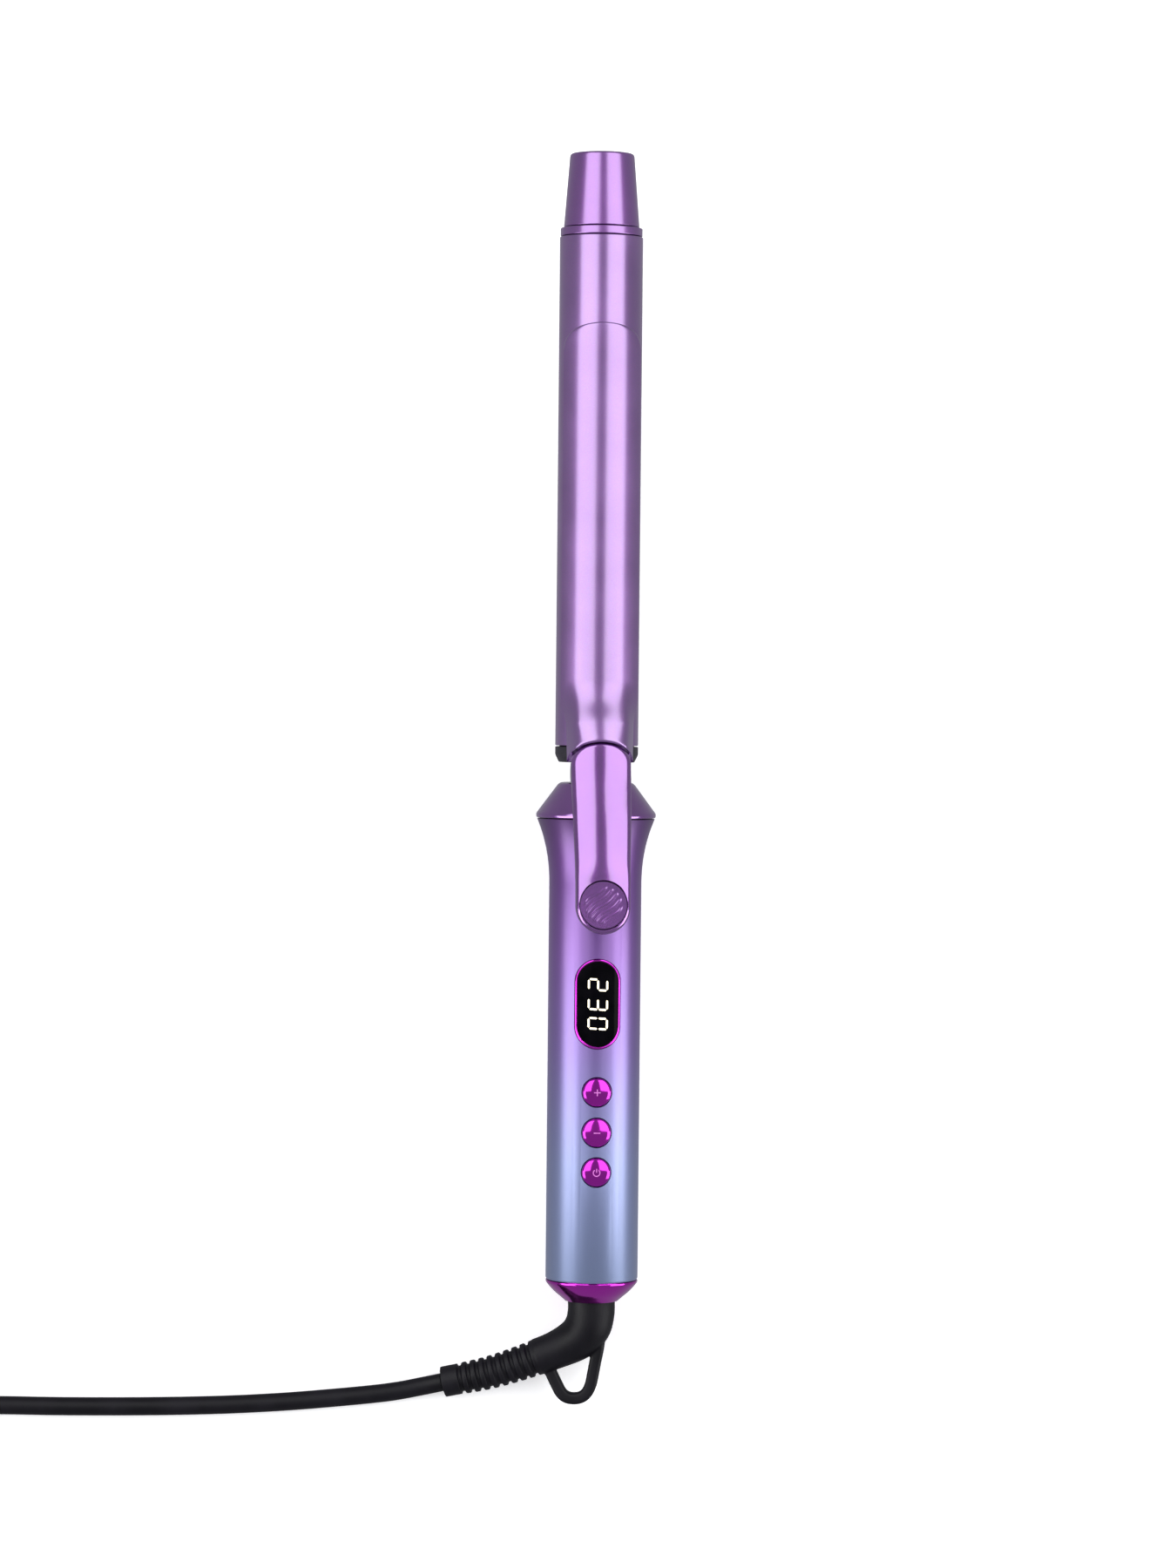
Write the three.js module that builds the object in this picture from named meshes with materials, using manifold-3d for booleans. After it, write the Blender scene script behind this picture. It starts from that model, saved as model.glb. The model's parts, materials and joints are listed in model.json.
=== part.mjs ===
// A curling iron lying on its back: millimetres, +Z up, long axis along +Y, tip towards +Y.
// The iron is drawn about its own long axis, with the lever and buttons facing +Z, and is then
// tilted so that it rests on its flared collar and on the handle's end.
import * as THREE from 'three';
import { mergeVertices } from 'three/addons/utils/BufferGeometryUtils.js';
import Module from 'manifold-3d';

const wasm = await Module();
wasm.setup();

// ---- Driving dimensions ----
const ROUND = 32; // sides of the large turned parts
const GAP = 0.3; // clearance between neighbouring pieces

const BARREL_R = 12.5;
const BARREL_WALL = 1;
const BARREL_TOP = 147.5;
const BARREL_FOOT = -5.2;

const TIP_END = 172.7;
const TIP_R = 9.65;
const TIP_BASE_R = 11.35;
const TIP_BASE = 150.5;
const TIP_WALL = 1.7;

const COLLAR_FRONT = -16.3;
const COLLAR_FRONT_R = 11.5;
const COLLAR_R = 18.1;
const COLLAR_WIDEST = -25.2;
const COLLAR_REAR = -26.9;

const HANDLE_R = 13.9;
const HANDLE_INNER_R = 12;
const HANDLE_FRONT = -27.2;
const HANDLE_REAR = -166.1;
const FLARE_LENGTH = 20;
const FLARE_HEIGHT = 3.85;
const FLARE_POWER = 2.2;

const CAP_END = -172.7;
const CAP_OPENING_R = 7.5;

const NECK_R = 6.4;
const NECK_BORE_R = 4.2;

const PIN = { y: -13.2, z: 12, r: 1.5, length: 17 };
const LUG = { inner: 4.4, outer: 6.2, r: 3 };

const CLIP_R = 13.8;
const CLIP_THICK = 1;
const CLIP_ANGLE = THREE.MathUtils.degToRad(57);
const CLIP_TIP = 121.1;
const CLIP_ARCH = 7.7;

const LEVER_HALF = 8.9;
const LEVER_FRONT = -4.2;
const LEVER_SHOULDER = -10.2;
const LEVER_END = -60.5;
const LEVER_WALL = 1.6;
const LEVER_TOP_THICK = 2.2;
const LEVER_SCREW = { x: 3, y: -7.4 };
const PAD = { y: -51.8, r: 6.9, thick: 1.6, sunk: 0.5 };

const DISPLAY = { y: -82.3, width: 13.65, length: 27, rim: 0.75, proud: 0.35 };
const BUTTON = { r: 4.35, places: { plus: -108.7, minus: -120.8, power: -132.7 }, apex: 15.1, edge: 13.6 };
const BOARD = { width: 19, thick: 1.6, top: 6.4, front: -64, rear: -142, screws: [-68, -139] };

const BOOT_R = 7.1;
const BOOT_DROOP = THREE.MathUtils.degToRad(10.6);
const LOOP_THICK = 4;

const CORD_R = 2.75;
// innerR and outerR are the radii of the cord's middle line in its first and last turn.
const COIL = { x: -232, y: -161.6, innerR: 23.2, outerR: 43.2, foot: 0.1 };
const PLUG = { x: -266, y: -92, z: 7 };

// ---- Finishes ----
function finish(color, roughness, metalness) {
  return new THREE.MeshStandardMaterial({ color, roughness, metalness });
}

const FINISH = {
  pearlViolet: [0x9d6cc4, 0.3, 0.6],
  leverViolet: [0xa860c8, 0.25, 0.5],
  handleLilac: [0x9a86c4, 0.35, 0.4],
  magentaChrome: [0xb020b0, 0.08, 1],
  blackRubber: [0x17141d, 0.6, 0],
  blackPlastic: [0x1a1820, 0.45, 0],
  greyPlastic: [0x5b5b60, 0.5, 0],
  glass: [0x050508, 0.05, 0],
  aluminium: [0xc4c6c8, 0.35, 1],
  steel: [0xa5a6a8, 0.3, 1],
  brass: [0xc8a24a, 0.3, 1],
  ceramic: [0xe8e4da, 0.6, 0],
  board: [0x1e6b3a, 0.5, 0],
  redWire: [0xa02018, 0.5, 0],
  blueWire: [0x2050a0, 0.5, 0],
  whiteWire: [0xe0e0dc, 0.5, 0],
};

// ---- Solids ----
// Welds a geometry, drops the slivers on a turned part's axis and turns its faces outward.
function weld(geometry) {
  const bare = geometry.clone();
  for (const name of ['normal', 'uv']) bare.deleteAttribute(name);
  bare.clearGroups();
  const merged = mergeVertices(bare, 1e-4);
  const from = merged.index.array;
  const kept = [];
  for (let i = 0; i < from.length; i += 3) {
    const [a, b, c] = [from[i], from[i + 1], from[i + 2]];
    if (a !== b && b !== c && c !== a) kept.push(a, b, c);
  }
  const p = merged.attributes.position;
  const corner = [0, 1, 2].map(() => new THREE.Vector3());
  let volume = 0;
  for (let i = 0; i < kept.length; i += 3) {
    corner.forEach((v, n) => v.fromBufferAttribute(p, kept[i + n]));
    volume += corner[0].dot(corner[1].clone().cross(corner[2]));
  }
  if (volume < 0) kept.reverse();
  merged.setIndex(kept);
  return merged;
}

function solid(geometry) {
  const welded = weld(geometry);
  const vertProperties = new Float32Array(welded.attributes.position.array);
  const triVerts = new Uint32Array(welded.index.array);
  return new wasm.Manifold(new wasm.Mesh({ numProp: 3, vertProperties, triVerts }));
}

function surface(body) {
  const mesh = body.getMesh();
  const geometry = new THREE.BufferGeometry();
  geometry.setAttribute('position', new THREE.BufferAttribute(new Float32Array(mesh.vertProperties), 3));
  geometry.setIndex(new THREE.BufferAttribute(new Uint32Array(mesh.triVerts), 1));
  return geometry;
}

function cut(base, ...tools) {
  return surface(tools.reduce((left, tool) => left.subtract(solid(tool)), solid(base)));
}

function join(base, ...others) {
  return surface(others.reduce((sum, other) => sum.add(solid(other)), solid(base)));
}

function overlap(first, second) {
  return surface(solid(first).intersect(solid(second)));
}

// A profile of [radius, y] points turned about the long axis.
function turned(profile, sides = ROUND) {
  const points = profile.map(([r, y]) => new THREE.Vector2(r, y));
  const onAxis = profile[0][0] === 0 && profile.at(-1)[0] === 0;
  if (!onAxis) points.push(points[0].clone());
  return weld(new THREE.LatheGeometry(points, sides));
}

// A plain hollow cylinder about the long axis.
function sleeve(outer, inner, y0, y1, sides = ROUND) {
  return turned([[outer, y0], [outer, y1], [inner, y1], [inner, y0]], sides);
}

function rod(r, y0, y1, sides = ROUND) {
  return turned([[0, y0], [r, y0], [r, y1], [0, y1]], sides);
}

function box(x0, x1, y0, y1, z0, z1) {
  const geometry = new THREE.BoxGeometry(x1 - x0, y1 - y0, z1 - z0);
  return geometry.translate((x0 + x1) / 2, (y0 + y1) / 2, (z0 + z1) / 2);
}

// An upright cylinder, its axis along Z.
function post(r, x, y, z0, z1, sides = 16) {
  const solid = new THREE.CylinderGeometry(r, r, z1 - z0, sides);
  return solid.rotateX(Math.PI / 2).translate(x, y, (z0 + z1) / 2);
}

// A cylinder along X.
function bar(r, x0, x1, y, z, sides = 16) {
  const solid = new THREE.CylinderGeometry(r, r, x1 - x0, sides);
  return solid.rotateZ(Math.PI / 2).translate((x0 + x1) / 2, y, z);
}

function prism(shape, z0, z1, curveSegments = 8) {
  const options = { depth: z1 - z0, bevelEnabled: false, curveSegments };
  return new THREE.ExtrudeGeometry(shape, options).translate(0, 0, z0);
}

// A slot with round ends, its length along Y.
function slot(width, length, y) {
  const r = width / 2;
  const half = length / 2 - r;
  const shape = new THREE.Shape();
  shape.absarc(0, y + half, r, 0, Math.PI);
  shape.absarc(0, y - half, r, Math.PI, 2 * Math.PI);
  return shape;
}

function wire(points, r, steps, sides = 8) {
  const section = new THREE.Shape();
  for (let i = 0; i < sides; i += 1) {
    const angle = (2 * Math.PI * i) / sides;
    const corner = [r * Math.cos(angle), r * Math.sin(angle)];
    if (i === 0) section.moveTo(...corner);
    else section.lineTo(...corner);
  }
  const corners = points.map((p) => new THREE.Vector3(...p));
  const extrudePath = new THREE.CatmullRomCurve3(corners, false, 'centripetal');
  return new THREE.ExtrudeGeometry(section, { steps, bevelEnabled: false, extrudePath });
}

// Joins rows of points, each a closed ring of the same length, into one skin with open ends.
function ringedGrid(rows) {
  const width = rows[0].length;
  const position = rows.flat().flatMap((v) => [v.x, v.y, v.z]);
  const index = [];
  for (let r = 0; r + 1 < rows.length; r += 1) {
    for (let c = 0; c < width; c += 1) {
      const [a, b] = [r * width + c, r * width + ((c + 1) % width)];
      index.push(a, b, a + width, b, b + width, a + width);
    }
  }
  return { position, index, width };
}

function fromGrid({ position, index }) {
  const geometry = new THREE.BufferGeometry();
  geometry.setAttribute('position', new THREE.Float32BufferAttribute(position, 3));
  geometry.setIndex(index);
  return weld(geometry);
}

// A sheet between two surfaces, each a function of a column and a row number.
function sheet(columns, rowCount, over, under) {
  const rows = [];
  for (let r = 0; r < rowCount; r += 1) {
    const top = columns.map((s) => over(s, r));
    const bottom = columns.map((s) => under(s, r)).reverse();
    rows.push([...top, ...bottom]);
  }
  const grid = ringedGrid(rows);
  const last = (rowCount - 1) * grid.width;
  for (let c = 0; c + 1 < columns.length; c += 1) {
    const far = grid.width - 1 - c;
    grid.index.push(c, far, c + 1, c + 1, far, far - 1);
    grid.index.push(last + c, last + c + 1, last + far, last + c + 1, last + far - 1, last + far);
  }
  return fromGrid(grid);
}

// A round body swept along a flat curve in the XY plane; each station is [point, heading, radius].
function swept(stations, sides) {
  const rows = stations.map(([point, heading, radius]) => {
    const across = new THREE.Vector3(-heading.y, heading.x, 0);
    const ring = [];
    for (let i = 0; i < sides; i += 1) {
      const angle = (2 * Math.PI * i) / sides;
      const v = point.clone().addScaledVector(across, radius * Math.cos(angle));
      v.z += radius * Math.sin(angle);
      ring.push(v);
    }
    return ring;
  });
  const grid = ringedGrid(rows);
  const last = (rows.length - 1) * sides;
  for (let i = 1; i + 1 < sides; i += 1) {
    grid.index.push(0, i + 1, i);
    grid.index.push(last, last + i, last + i + 1);
  }
  return fromGrid(grid);
}

// ---- Scene graph ----
const object = new THREE.Group();
const iron = new THREE.Group();
const swivel = new THREE.Group();
object.add(iron);
iron.add(swivel);

function place(name, look, geometry, group = iron) {
  const mesh = new THREE.Mesh(geometry, finish(...FINISH[look]));
  mesh.name = name;
  group.add(mesh);
}

const smoothStep = (from, to, value) => THREE.MathUtils.smoothstep(value, from, to);

// ---- Barrel ----
function addBarrel() {
  const innerR = BARREL_R - BARREL_WALL;
  place('barrel_tube', 'pearlViolet', sleeve(BARREL_R, innerR, BARREL_FOOT, BARREL_TOP));
  place('tip_cap', 'pearlViolet', turned([
    [0, TIP_END], [TIP_R - 1.2, TIP_END], [TIP_R - 0.35, TIP_END - 0.35], [TIP_R, TIP_END - 1.2],
    [TIP_BASE_R, TIP_BASE], [TIP_BASE_R - TIP_WALL, TIP_BASE],
    [TIP_R - TIP_WALL, TIP_END - TIP_WALL], [0, TIP_END - TIP_WALL],
  ]));
  const ringTop = TIP_BASE - GAP;
  const ringFoot = BARREL_TOP + GAP;
  const plugR = innerR - GAP;
  const spigotR = TIP_BASE_R - TIP_WALL - GAP;
  place('tip_insulator', 'pearlViolet', turned([
    [plugR, 139], [plugR, ringFoot], [BARREL_R - 0.2, ringFoot], [BARREL_R - 0.2, ringTop],
    [spigotR, ringTop], [spigotR - 0.4, 157], [6, 157], [6, 139],
  ]));
  place('barrel_base_ring', 'blackPlastic', turned([
    [BARREL_R, -8], [BARREL_R, BARREL_FOOT - GAP], [plugR, BARREL_FOOT - GAP], [plugR, 5],
    [NECK_R + GAP, 5], [NECK_R + GAP, -10.2], [BARREL_R - 1, -10.2],
  ]));
}

// ---- Heater ----
function addHeater() {
  const [y0, y1] = [28, 128];
  const blockR = 10.9;
  const plate = { half: 7.5, thick: 1.2 };
  for (const [name, side] of [['heater_block_upper', 1], ['heater_block_lower', -1]]) {
    const hollow = rod(5.2, y0 - 1, y1 + 1, 16).translate(0, 0, side * 2.4);
    const cutaway = box(-12, 12, y0 - 1, y1 + 1, side > 0 ? -12 : -0.9, side > 0 ? 0.9 : 12);
    const web = box(-plate.half - 1, plate.half + 1, y0, y1, side > 0 ? 0.9 : -2.4, side > 0 ? 2.4 : -0.9);
    place(name, 'aluminium', cut(join(cut(rod(blockR, y0, y1, 28), hollow), web), cutaway));
  }
  place('heater_plate', 'ceramic',
    box(-plate.half, plate.half, y0 + 2, y1 - 2, -plate.thick / 2, plate.thick / 2));
  place('thermistor', 'ceramic', rod(1, 18, 24, 10).translate(0, 0, 9.6));
  place('thermistor_lead', 'whiteWire',
    wire([[0, 17.7, 9.4], [0, 11, 5], [0, 2, 2.6], [0, -30, 2.6], [0, -63, 3.4]],
    0.6, 16, 6));
  const leads = [['heater_lead_live', 'redWire', -2.3], ['heater_lead_neutral', 'blueWire', 2.3]];
  for (const [name, look, x] of leads) {
    const path = [[x, 27.6, 0], [x, 15, -0.6], [x, 0, -1], [x, -30, -1], [x, -63, -0.6]];
    place(name, look, wire(path, 0.8, 14, 6));
  }
}

// ---- Neck and hinge ----
function lugShape() {
  const shape = new THREE.Shape();
  shape.moveTo(PIN.y + LUG.r, 2);
  shape.absarc(PIN.y, PIN.z, LUG.r, 0, Math.PI);
  shape.lineTo(PIN.y - LUG.r, 2);
  const hole = new THREE.Path();
  hole.absarc(PIN.y, PIN.z, PIN.r + 0.1, 0, 2 * Math.PI);
  shape.holes.push(hole);
  return shape;
}

// Stands an outline drawn as (y, z) up as a plate between x0 and x1.
function plateAcross(shape, x0, x1, curveSegments = 8) {
  const turn = new THREE.Matrix4().makeBasis(
    new THREE.Vector3(0, 1, 0), new THREE.Vector3(0, 0, 1), new THREE.Vector3(1, 0, 0));
  return prism(shape, x0, x1, curveSegments).applyMatrix4(turn);
}

function addNeck() {
  const tube = rod(NECK_R, -40, 4, 24);
  const flange = rod(11, -31, -28.5, 24);
  const lugSpans = [[LUG.inner, LUG.outer], [-LUG.outer, -LUG.inner]];
  const lugs = lugSpans.map(([x0, x1]) => plateAcross(lugShape(), x0, x1));
  const bore = rod(NECK_BORE_R, -41, 5, 20);
  place('neck_bracket', 'steel', cut(join(tube, flange, ...lugs), bore));
  place('hinge_pin', 'steel', bar(PIN.r, -PIN.length / 2, PIN.length / 2, PIN.y, PIN.z));
  const [sides, wraps] = [8, 3.5];
  const coilR = PIN.r + 0.9;
  const coil = Array.from({ length: sides * wraps + 1 }, (_, i) => {
    const angle = -Math.PI / 2 + (2 * Math.PI * i) / sides;
    const x = THREE.MathUtils.lerp(-2.6, 2.6, i / (sides * wraps));
    return [x, PIN.y + coilR * Math.cos(angle), PIN.z + coilR * Math.sin(angle)];
  });
  const legs = [[-2.6, PIN.y - 2.4, PIN.z - coilR - 1.2], ...coil, [2.6, PIN.y - 5, PIN.z + coilR + 4]];
  place('clip_spring', 'steel', wire(legs, 0.4, 40, 5));
}

// ---- Collar, handle and end cap ----
function handleRadius(y) {
  const along = THREE.MathUtils.clamp((HANDLE_FRONT - y) / FLARE_LENGTH, 0, 1);
  return HANDLE_R + FLARE_HEIGHT * (1 - along) ** FLARE_POWER;
}

function addCollar() {
  place('collar_cone', 'leverViolet', turned([
    [COLLAR_FRONT_R, COLLAR_FRONT - 0.5], [COLLAR_FRONT_R - 0.8, COLLAR_FRONT],
    [NECK_R + GAP, COLLAR_FRONT],
    [NECK_R + GAP, COLLAR_FRONT - 2], [COLLAR_FRONT_R - 1, COLLAR_FRONT - 2.4],
    [COLLAR_R - 2.2, COLLAR_WIDEST - 0.2], [COLLAR_R - 2.2, COLLAR_REAR],
    [COLLAR_R - 0.15, COLLAR_REAR], [COLLAR_R, COLLAR_WIDEST - 0.7], [COLLAR_R - 0.3, COLLAR_WIDEST],
  ]));
}

function addHandle() {
  const profile = [];
  const flareSteps = 8;
  for (let i = 0; i <= flareSteps; i += 1) {
    const y = HANDLE_FRONT - (FLARE_LENGTH * i) / flareSteps;
    profile.push([handleRadius(y), y]);
  }
  profile.push([HANDLE_R, HANDLE_REAR], [HANDLE_INNER_R, HANDLE_REAR]);
  for (const along of [0.6, 0.25, 0]) {
    const y = HANDLE_FRONT - FLARE_LENGTH * along;
    profile.push([handleRadius(y) - (HANDLE_R - HANDLE_INNER_R), y]);
  }
  const displayHole = prism(slot(DISPLAY.width + 2 * GAP, DISPLAY.length + 2 * GAP, DISPLAY.y), 2, 20);
  const holes = Object.values(BUTTON.places).map((y) => post(BUTTON.r + GAP, 0, y, 2, 20, 20));
  place('handle_sleeve', 'handleLilac', cut(turned(profile), displayHole, ...holes));
  place('end_cap', 'magentaChrome', turned([
    [HANDLE_R - 0.1, HANDLE_REAR - GAP], [12.3, -168.6], [10.8, -170.2], [8.9, -171.8],
    [CAP_OPENING_R + 0.3, CAP_END],
    [CAP_OPENING_R, CAP_END + 0.2], [CAP_OPENING_R, -170.6], [10.3, -167.6], [10.3, -156],
    [HANDLE_INNER_R - GAP, -156], [HANDLE_INNER_R - GAP, HANDLE_REAR - GAP],
  ].reverse()));
}

// ---- Inner frame, board and controls ----
function addElectronics() {
  const tray = cut(rod(11.6, -150, -45, 24), rod(10.2, -151, -44, 24), box(-12, 12, -151, -44, -1.6, 12));
  const posts = BOARD.screws.map((y) => box(-3.4, 3.4, y - 3, y + 3, -10.9, BOARD.top - BOARD.thick - GAP));
  const pilots = BOARD.screws.map((y) => post(1.2, 0, y, -6, 12));
  place('inner_frame', 'greyPlastic', cut(join(tray, ...posts), ...pilots));
  const half = BOARD.width / 2;
  const board = box(-half, half, BOARD.rear, BOARD.front, BOARD.top - BOARD.thick, BOARD.top);
  place('circuit_board', 'board', cut(board, ...BOARD.screws.map((y) => post(1.2, 0, y, 0, 12))));
  for (const [i, name] of ['board_screw_front', 'board_screw_rear'].entries()) {
    const y = BOARD.screws[i];
    const head = post(2, 0, y, BOARD.top + GAP, BOARD.top + 1.6, 12);
    place(name, 'steel', join(head, post(0.85, 0, y, -5.5, BOARD.top + 1, 10)));
  }
  const under = BOARD.top - BOARD.thick - GAP;
  place('control_chip', 'blackPlastic', box(-3.6, 3.6, -86, -79, under - 1.4, under));
  place('triac', 'blackPlastic', box(-5, 5, -106, -99, under - 4.2, under));
  place('filter_capacitor', 'blueWire', box(-4, 4, -122, -113, under - 6, under));
}

function addDisplay() {
  const { y, width, length, rim } = DISPLAY;
  place('display_module', 'greyPlastic', box(-5.4, 5.4, y - 9.6, y + 9.6, BOARD.top + GAP, 11.6));
  const glass = slot(width - 2 * rim - 0.1, length - 2 * rim - 0.1, y);
  place('display_lens', 'glass', overlap(prism(glass, 12, 20), rod(HANDLE_R + 0.1, -100, -60, 48)));
  const outside = prism(slot(width, length, y), 11, 20);
  const inside = prism(slot(width - 2 * rim + 0.3, length - 2 * rim + 0.3, y), 10, 21);
  const crown = rod(HANDLE_R + DISPLAY.proud, -100, -60, 48);
  place('display_bezel', 'magentaChrome', overlap(cut(outside, inside), crown));
}

function addControls() {
  for (const [name, y] of Object.entries(BUTTON.places)) {
    const switchTop = BOARD.top + GAP + 3;
    const body = box(-3, 3, y - 3, y + 3, BOARD.top + GAP, switchTop - 1);
    const plunger = post(1.6, 0, y, switchTop - 1.2, switchTop, 10);
    place(`tact_switch_${name}`, 'blackPlastic', join(body, plunger));
    const stem = switchTop + 0.7;
    const profile = [[0, stem], [1.5, stem], [1.5, 11], [BUTTON.r, 11], [BUTTON.r, BUTTON.edge],
      [BUTTON.r * 0.85, BUTTON.edge + 0.75], [BUTTON.r * 0.5, BUTTON.apex - 0.25], [0, BUTTON.apex]];
    place(`button_${name}`, 'magentaChrome', turned(profile, 16).rotateX(Math.PI / 2).translate(0, y, 0));
  }
}

// ---- Clip and lever ----
const ROW_ENDS = [CLIP_TIP - CLIP_ARCH, 108, 100, 84, 62, 40, 24, 16, 12, 9, 6, 3, 1.6];
const RISE = { start: 14, end: -3, height: 6.4 };

// How far behind its apex the lever's arched front lies at x.
function archDrop(x) {
  const s = Math.min(Math.abs(x) / LEVER_HALF, 1);
  return (LEVER_FRONT - LEVER_SHOULDER) * (1 - Math.sqrt(1 - s * s));
}

function clipHalf(y) {
  const full = CLIP_R * Math.sin(CLIP_ANGLE);
  return THREE.MathUtils.lerp(full, 9.9, smoothStep(-1, 10, 9 - y));
}

// The clip's outer height: the barrel's curve, with a ridge that rises towards the lever.
function clipHeight(x, y) {
  const rise = 1 - smoothStep(RISE.end, RISE.start, y);
  const ridge = 1 - smoothStep(4.5, 10.5, Math.abs(x));
  return Math.sqrt(CLIP_R ** 2 - x * x) + RISE.height * rise * ridge;
}

function addClip() {
  const steps = 16;
  const columns = Array.from({ length: steps + 1 },
    (_, i) => Math.sin((Math.PI / 2) * ((2 * i) / steps - 1)));
  const tailRows = [0.9, 0.2];
  const lowRows = [-0.3, -4];
  const rowCount = 1 + ROW_ENDS.length + tailRows.length + lowRows.length;
  const at = (s, r) => {
    if (r === 0) {
      const x = CLIP_R * Math.sin(s * CLIP_ANGLE);
      return [x, CLIP_TIP - CLIP_ARCH + 0.2 + CLIP_ARCH * Math.sqrt(1 - s * s), 0];
    }
    if (r <= ROW_ENDS.length) {
      const y = ROW_ENDS[r - 1];
      return [clipHalf(y) * Math.sin(s * CLIP_ANGLE) / Math.sin(CLIP_ANGLE), y, 0];
    }
    const offset = [...tailRows, ...lowRows][r - 1 - ROW_ENDS.length];
    const low = offset < 0;
    const half = low ? 6.6 : 9.9;
    const x = half * s;
    return [x, LEVER_FRONT + GAP + offset - archDrop(low ? x : x * 0.9), low ? 3.4 : 0];
  };
  const over = (s, r) => {
    const [x, y, drop] = at(s, r);
    return new THREE.Vector3(x, y, clipHeight(x, y) - drop);
  };
  const under = (s, r) => {
    const v = over(s, r);
    const lean = v.x / CLIP_R;
    return new THREE.Vector3(v.x - lean * CLIP_THICK, v.y, v.z - Math.sqrt(1 - lean * lean) * CLIP_THICK);
  };
  const holes = [-LEVER_SCREW.x, LEVER_SCREW.x].map((x) => post(1.4, x, LEVER_SCREW.y, 10, 22, 12));
  place('clip_plate', 'pearlViolet', cut(sheet(columns, rowCount, over, under), ...holes));
}

// The lever's ridge line, a smooth curve through its height at a few places.
const LEVER_LINE = new THREE.CatmullRomCurve3([
  [-2, 19.9], [-8, 20.5], [-14, 21.6], [-20, 24], [-26, 26.6], [-34, 29], [-43, 31], [-52, 32], [-62, 32.2],
].map(([y, z]) => new THREE.Vector3(0, y, z)), false, 'centripetal');

// How far the lever's surface falls away at a distance from its middle line.
function leverCrown(x) {
  const d = Math.abs(x);
  return 0.016 * d * d + 0.55 * Math.max(0, d - 7);
}

function leverOutline(inset, front, end) {
  const r = LEVER_HALF - inset;
  const shape = new THREE.Shape();
  shape.absarc(0, end + r + inset, r, Math.PI, 2 * Math.PI);
  shape.absellipse(0, LEVER_SHOULDER - inset, r, front - LEVER_SHOULDER, 0, Math.PI);
  return shape;
}

function leverBody(topDrop, depth) {
  const columns = [-9.4, -8.2, -7, -4, 0, 4, 7, 8.2, 9.4];
  const rowCount = 20;
  const spine = LEVER_LINE.getSpacedPoints(rowCount - 1);
  const point = (x, r, drop) => new THREE.Vector3(x, spine[r].y, spine[r].z - drop);
  const over = (x, r) => point(x, r, topDrop + leverCrown(x));
  const under = (x, r) => point(x, r, depth);
  return sheet(columns, rowCount, over, under);
}

function leverEar() {
  const shape = new THREE.Shape();
  shape.moveTo(PIN.y + LUG.r, 19);
  shape.absarc(PIN.y, PIN.z, LUG.r, 0, -Math.PI, true);
  shape.lineTo(PIN.y - LUG.r, 19);
  const hole = new THREE.Path();
  hole.absarc(PIN.y, PIN.z, PIN.r + 0.15, 0, 2 * Math.PI);
  shape.holes.push(hole);
  return shape;
}

function addLever() {
  const body = overlap(leverBody(0, 5.6), prism(leverOutline(0, LEVER_FRONT, LEVER_END), 0, 40, 14));
  const hollow = overlap(leverBody(LEVER_TOP_THICK, 9),
    prism(leverOutline(LEVER_WALL, LEVER_FRONT - LEVER_WALL, -43.5), 0, 40, 8));
  const earSpans = [[6.9, LEVER_HALF - 0.3], [-LEVER_HALF + 0.3, -6.9]];
  const ears = earSpans.map(([x0, x1]) => plateAcross(leverEar(), x0, x1));
  const padTop = 32 - PAD.sunk;
  const recess = post(PAD.r + GAP, 0, 0, -PAD.thick - GAP, 6, 28);
  const tilt = new THREE.Matrix4().makeRotationX(-0.07).setPosition(0, PAD.y, padTop);
  recess.applyMatrix4(tilt);
  const front = box(-12, 12, LEVER_SHOULDER + 0.1, 0, 0, 18.4);
  const screwBores = [-LEVER_SCREW.x, LEVER_SCREW.x].map((x) => post(1.1, x, LEVER_SCREW.y, 10, 19.6, 12));
  const shell = cut(cut(body, hollow), recess, front, ...screwBores);
  place('lever', 'leverViolet', join(shell, ...ears));
  const disc = post(PAD.r, 0, 0, -PAD.thick, 0, 28);
  const ridges = [-4.4, -2.2, 0, 2.2, 4.4].map((offset) => {
    const half = Math.sqrt(PAD.r ** 2 - offset ** 2) * 0.78;
    const path = [[-half, offset, 0], [-half / 3, offset - 0.5, 0],
      [half / 3, offset + 0.5, 0], [half, offset, 0]];
    return wire(path, 0.45, 8, 6).rotateZ(THREE.MathUtils.degToRad(48));
  });
  place('thumb_pad', 'leverViolet', join(disc, ...ridges).applyMatrix4(tilt));
  for (const [name, x] of [['lever_screw_left', -LEVER_SCREW.x], ['lever_screw_right', LEVER_SCREW.x]]) {
    const shank = post(0.8, x, LEVER_SCREW.y, 14, 19.2, 10);
    const head = post(1.9, x, LEVER_SCREW.y, 13.4, 14.4, 12);
    place(name, 'steel', join(shank, head));
  }
}

// ---- Swivel ----
const BOOT_PATH = new THREE.CatmullRomCurve3([
  [0, -168.9], [0, -172], [0, -176.5], [-1.2, -181],
  [-5.2, -185.2], [-15, -189.9], [-30, -195.2], [-44.8, -198.6],
].map(([x, y]) => new THREE.Vector3(x, y, 0)), false, 'centripetal');
const RIBS = { count: 9, start: 0.5, end: 0.915, depth: 0.8 };

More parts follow.
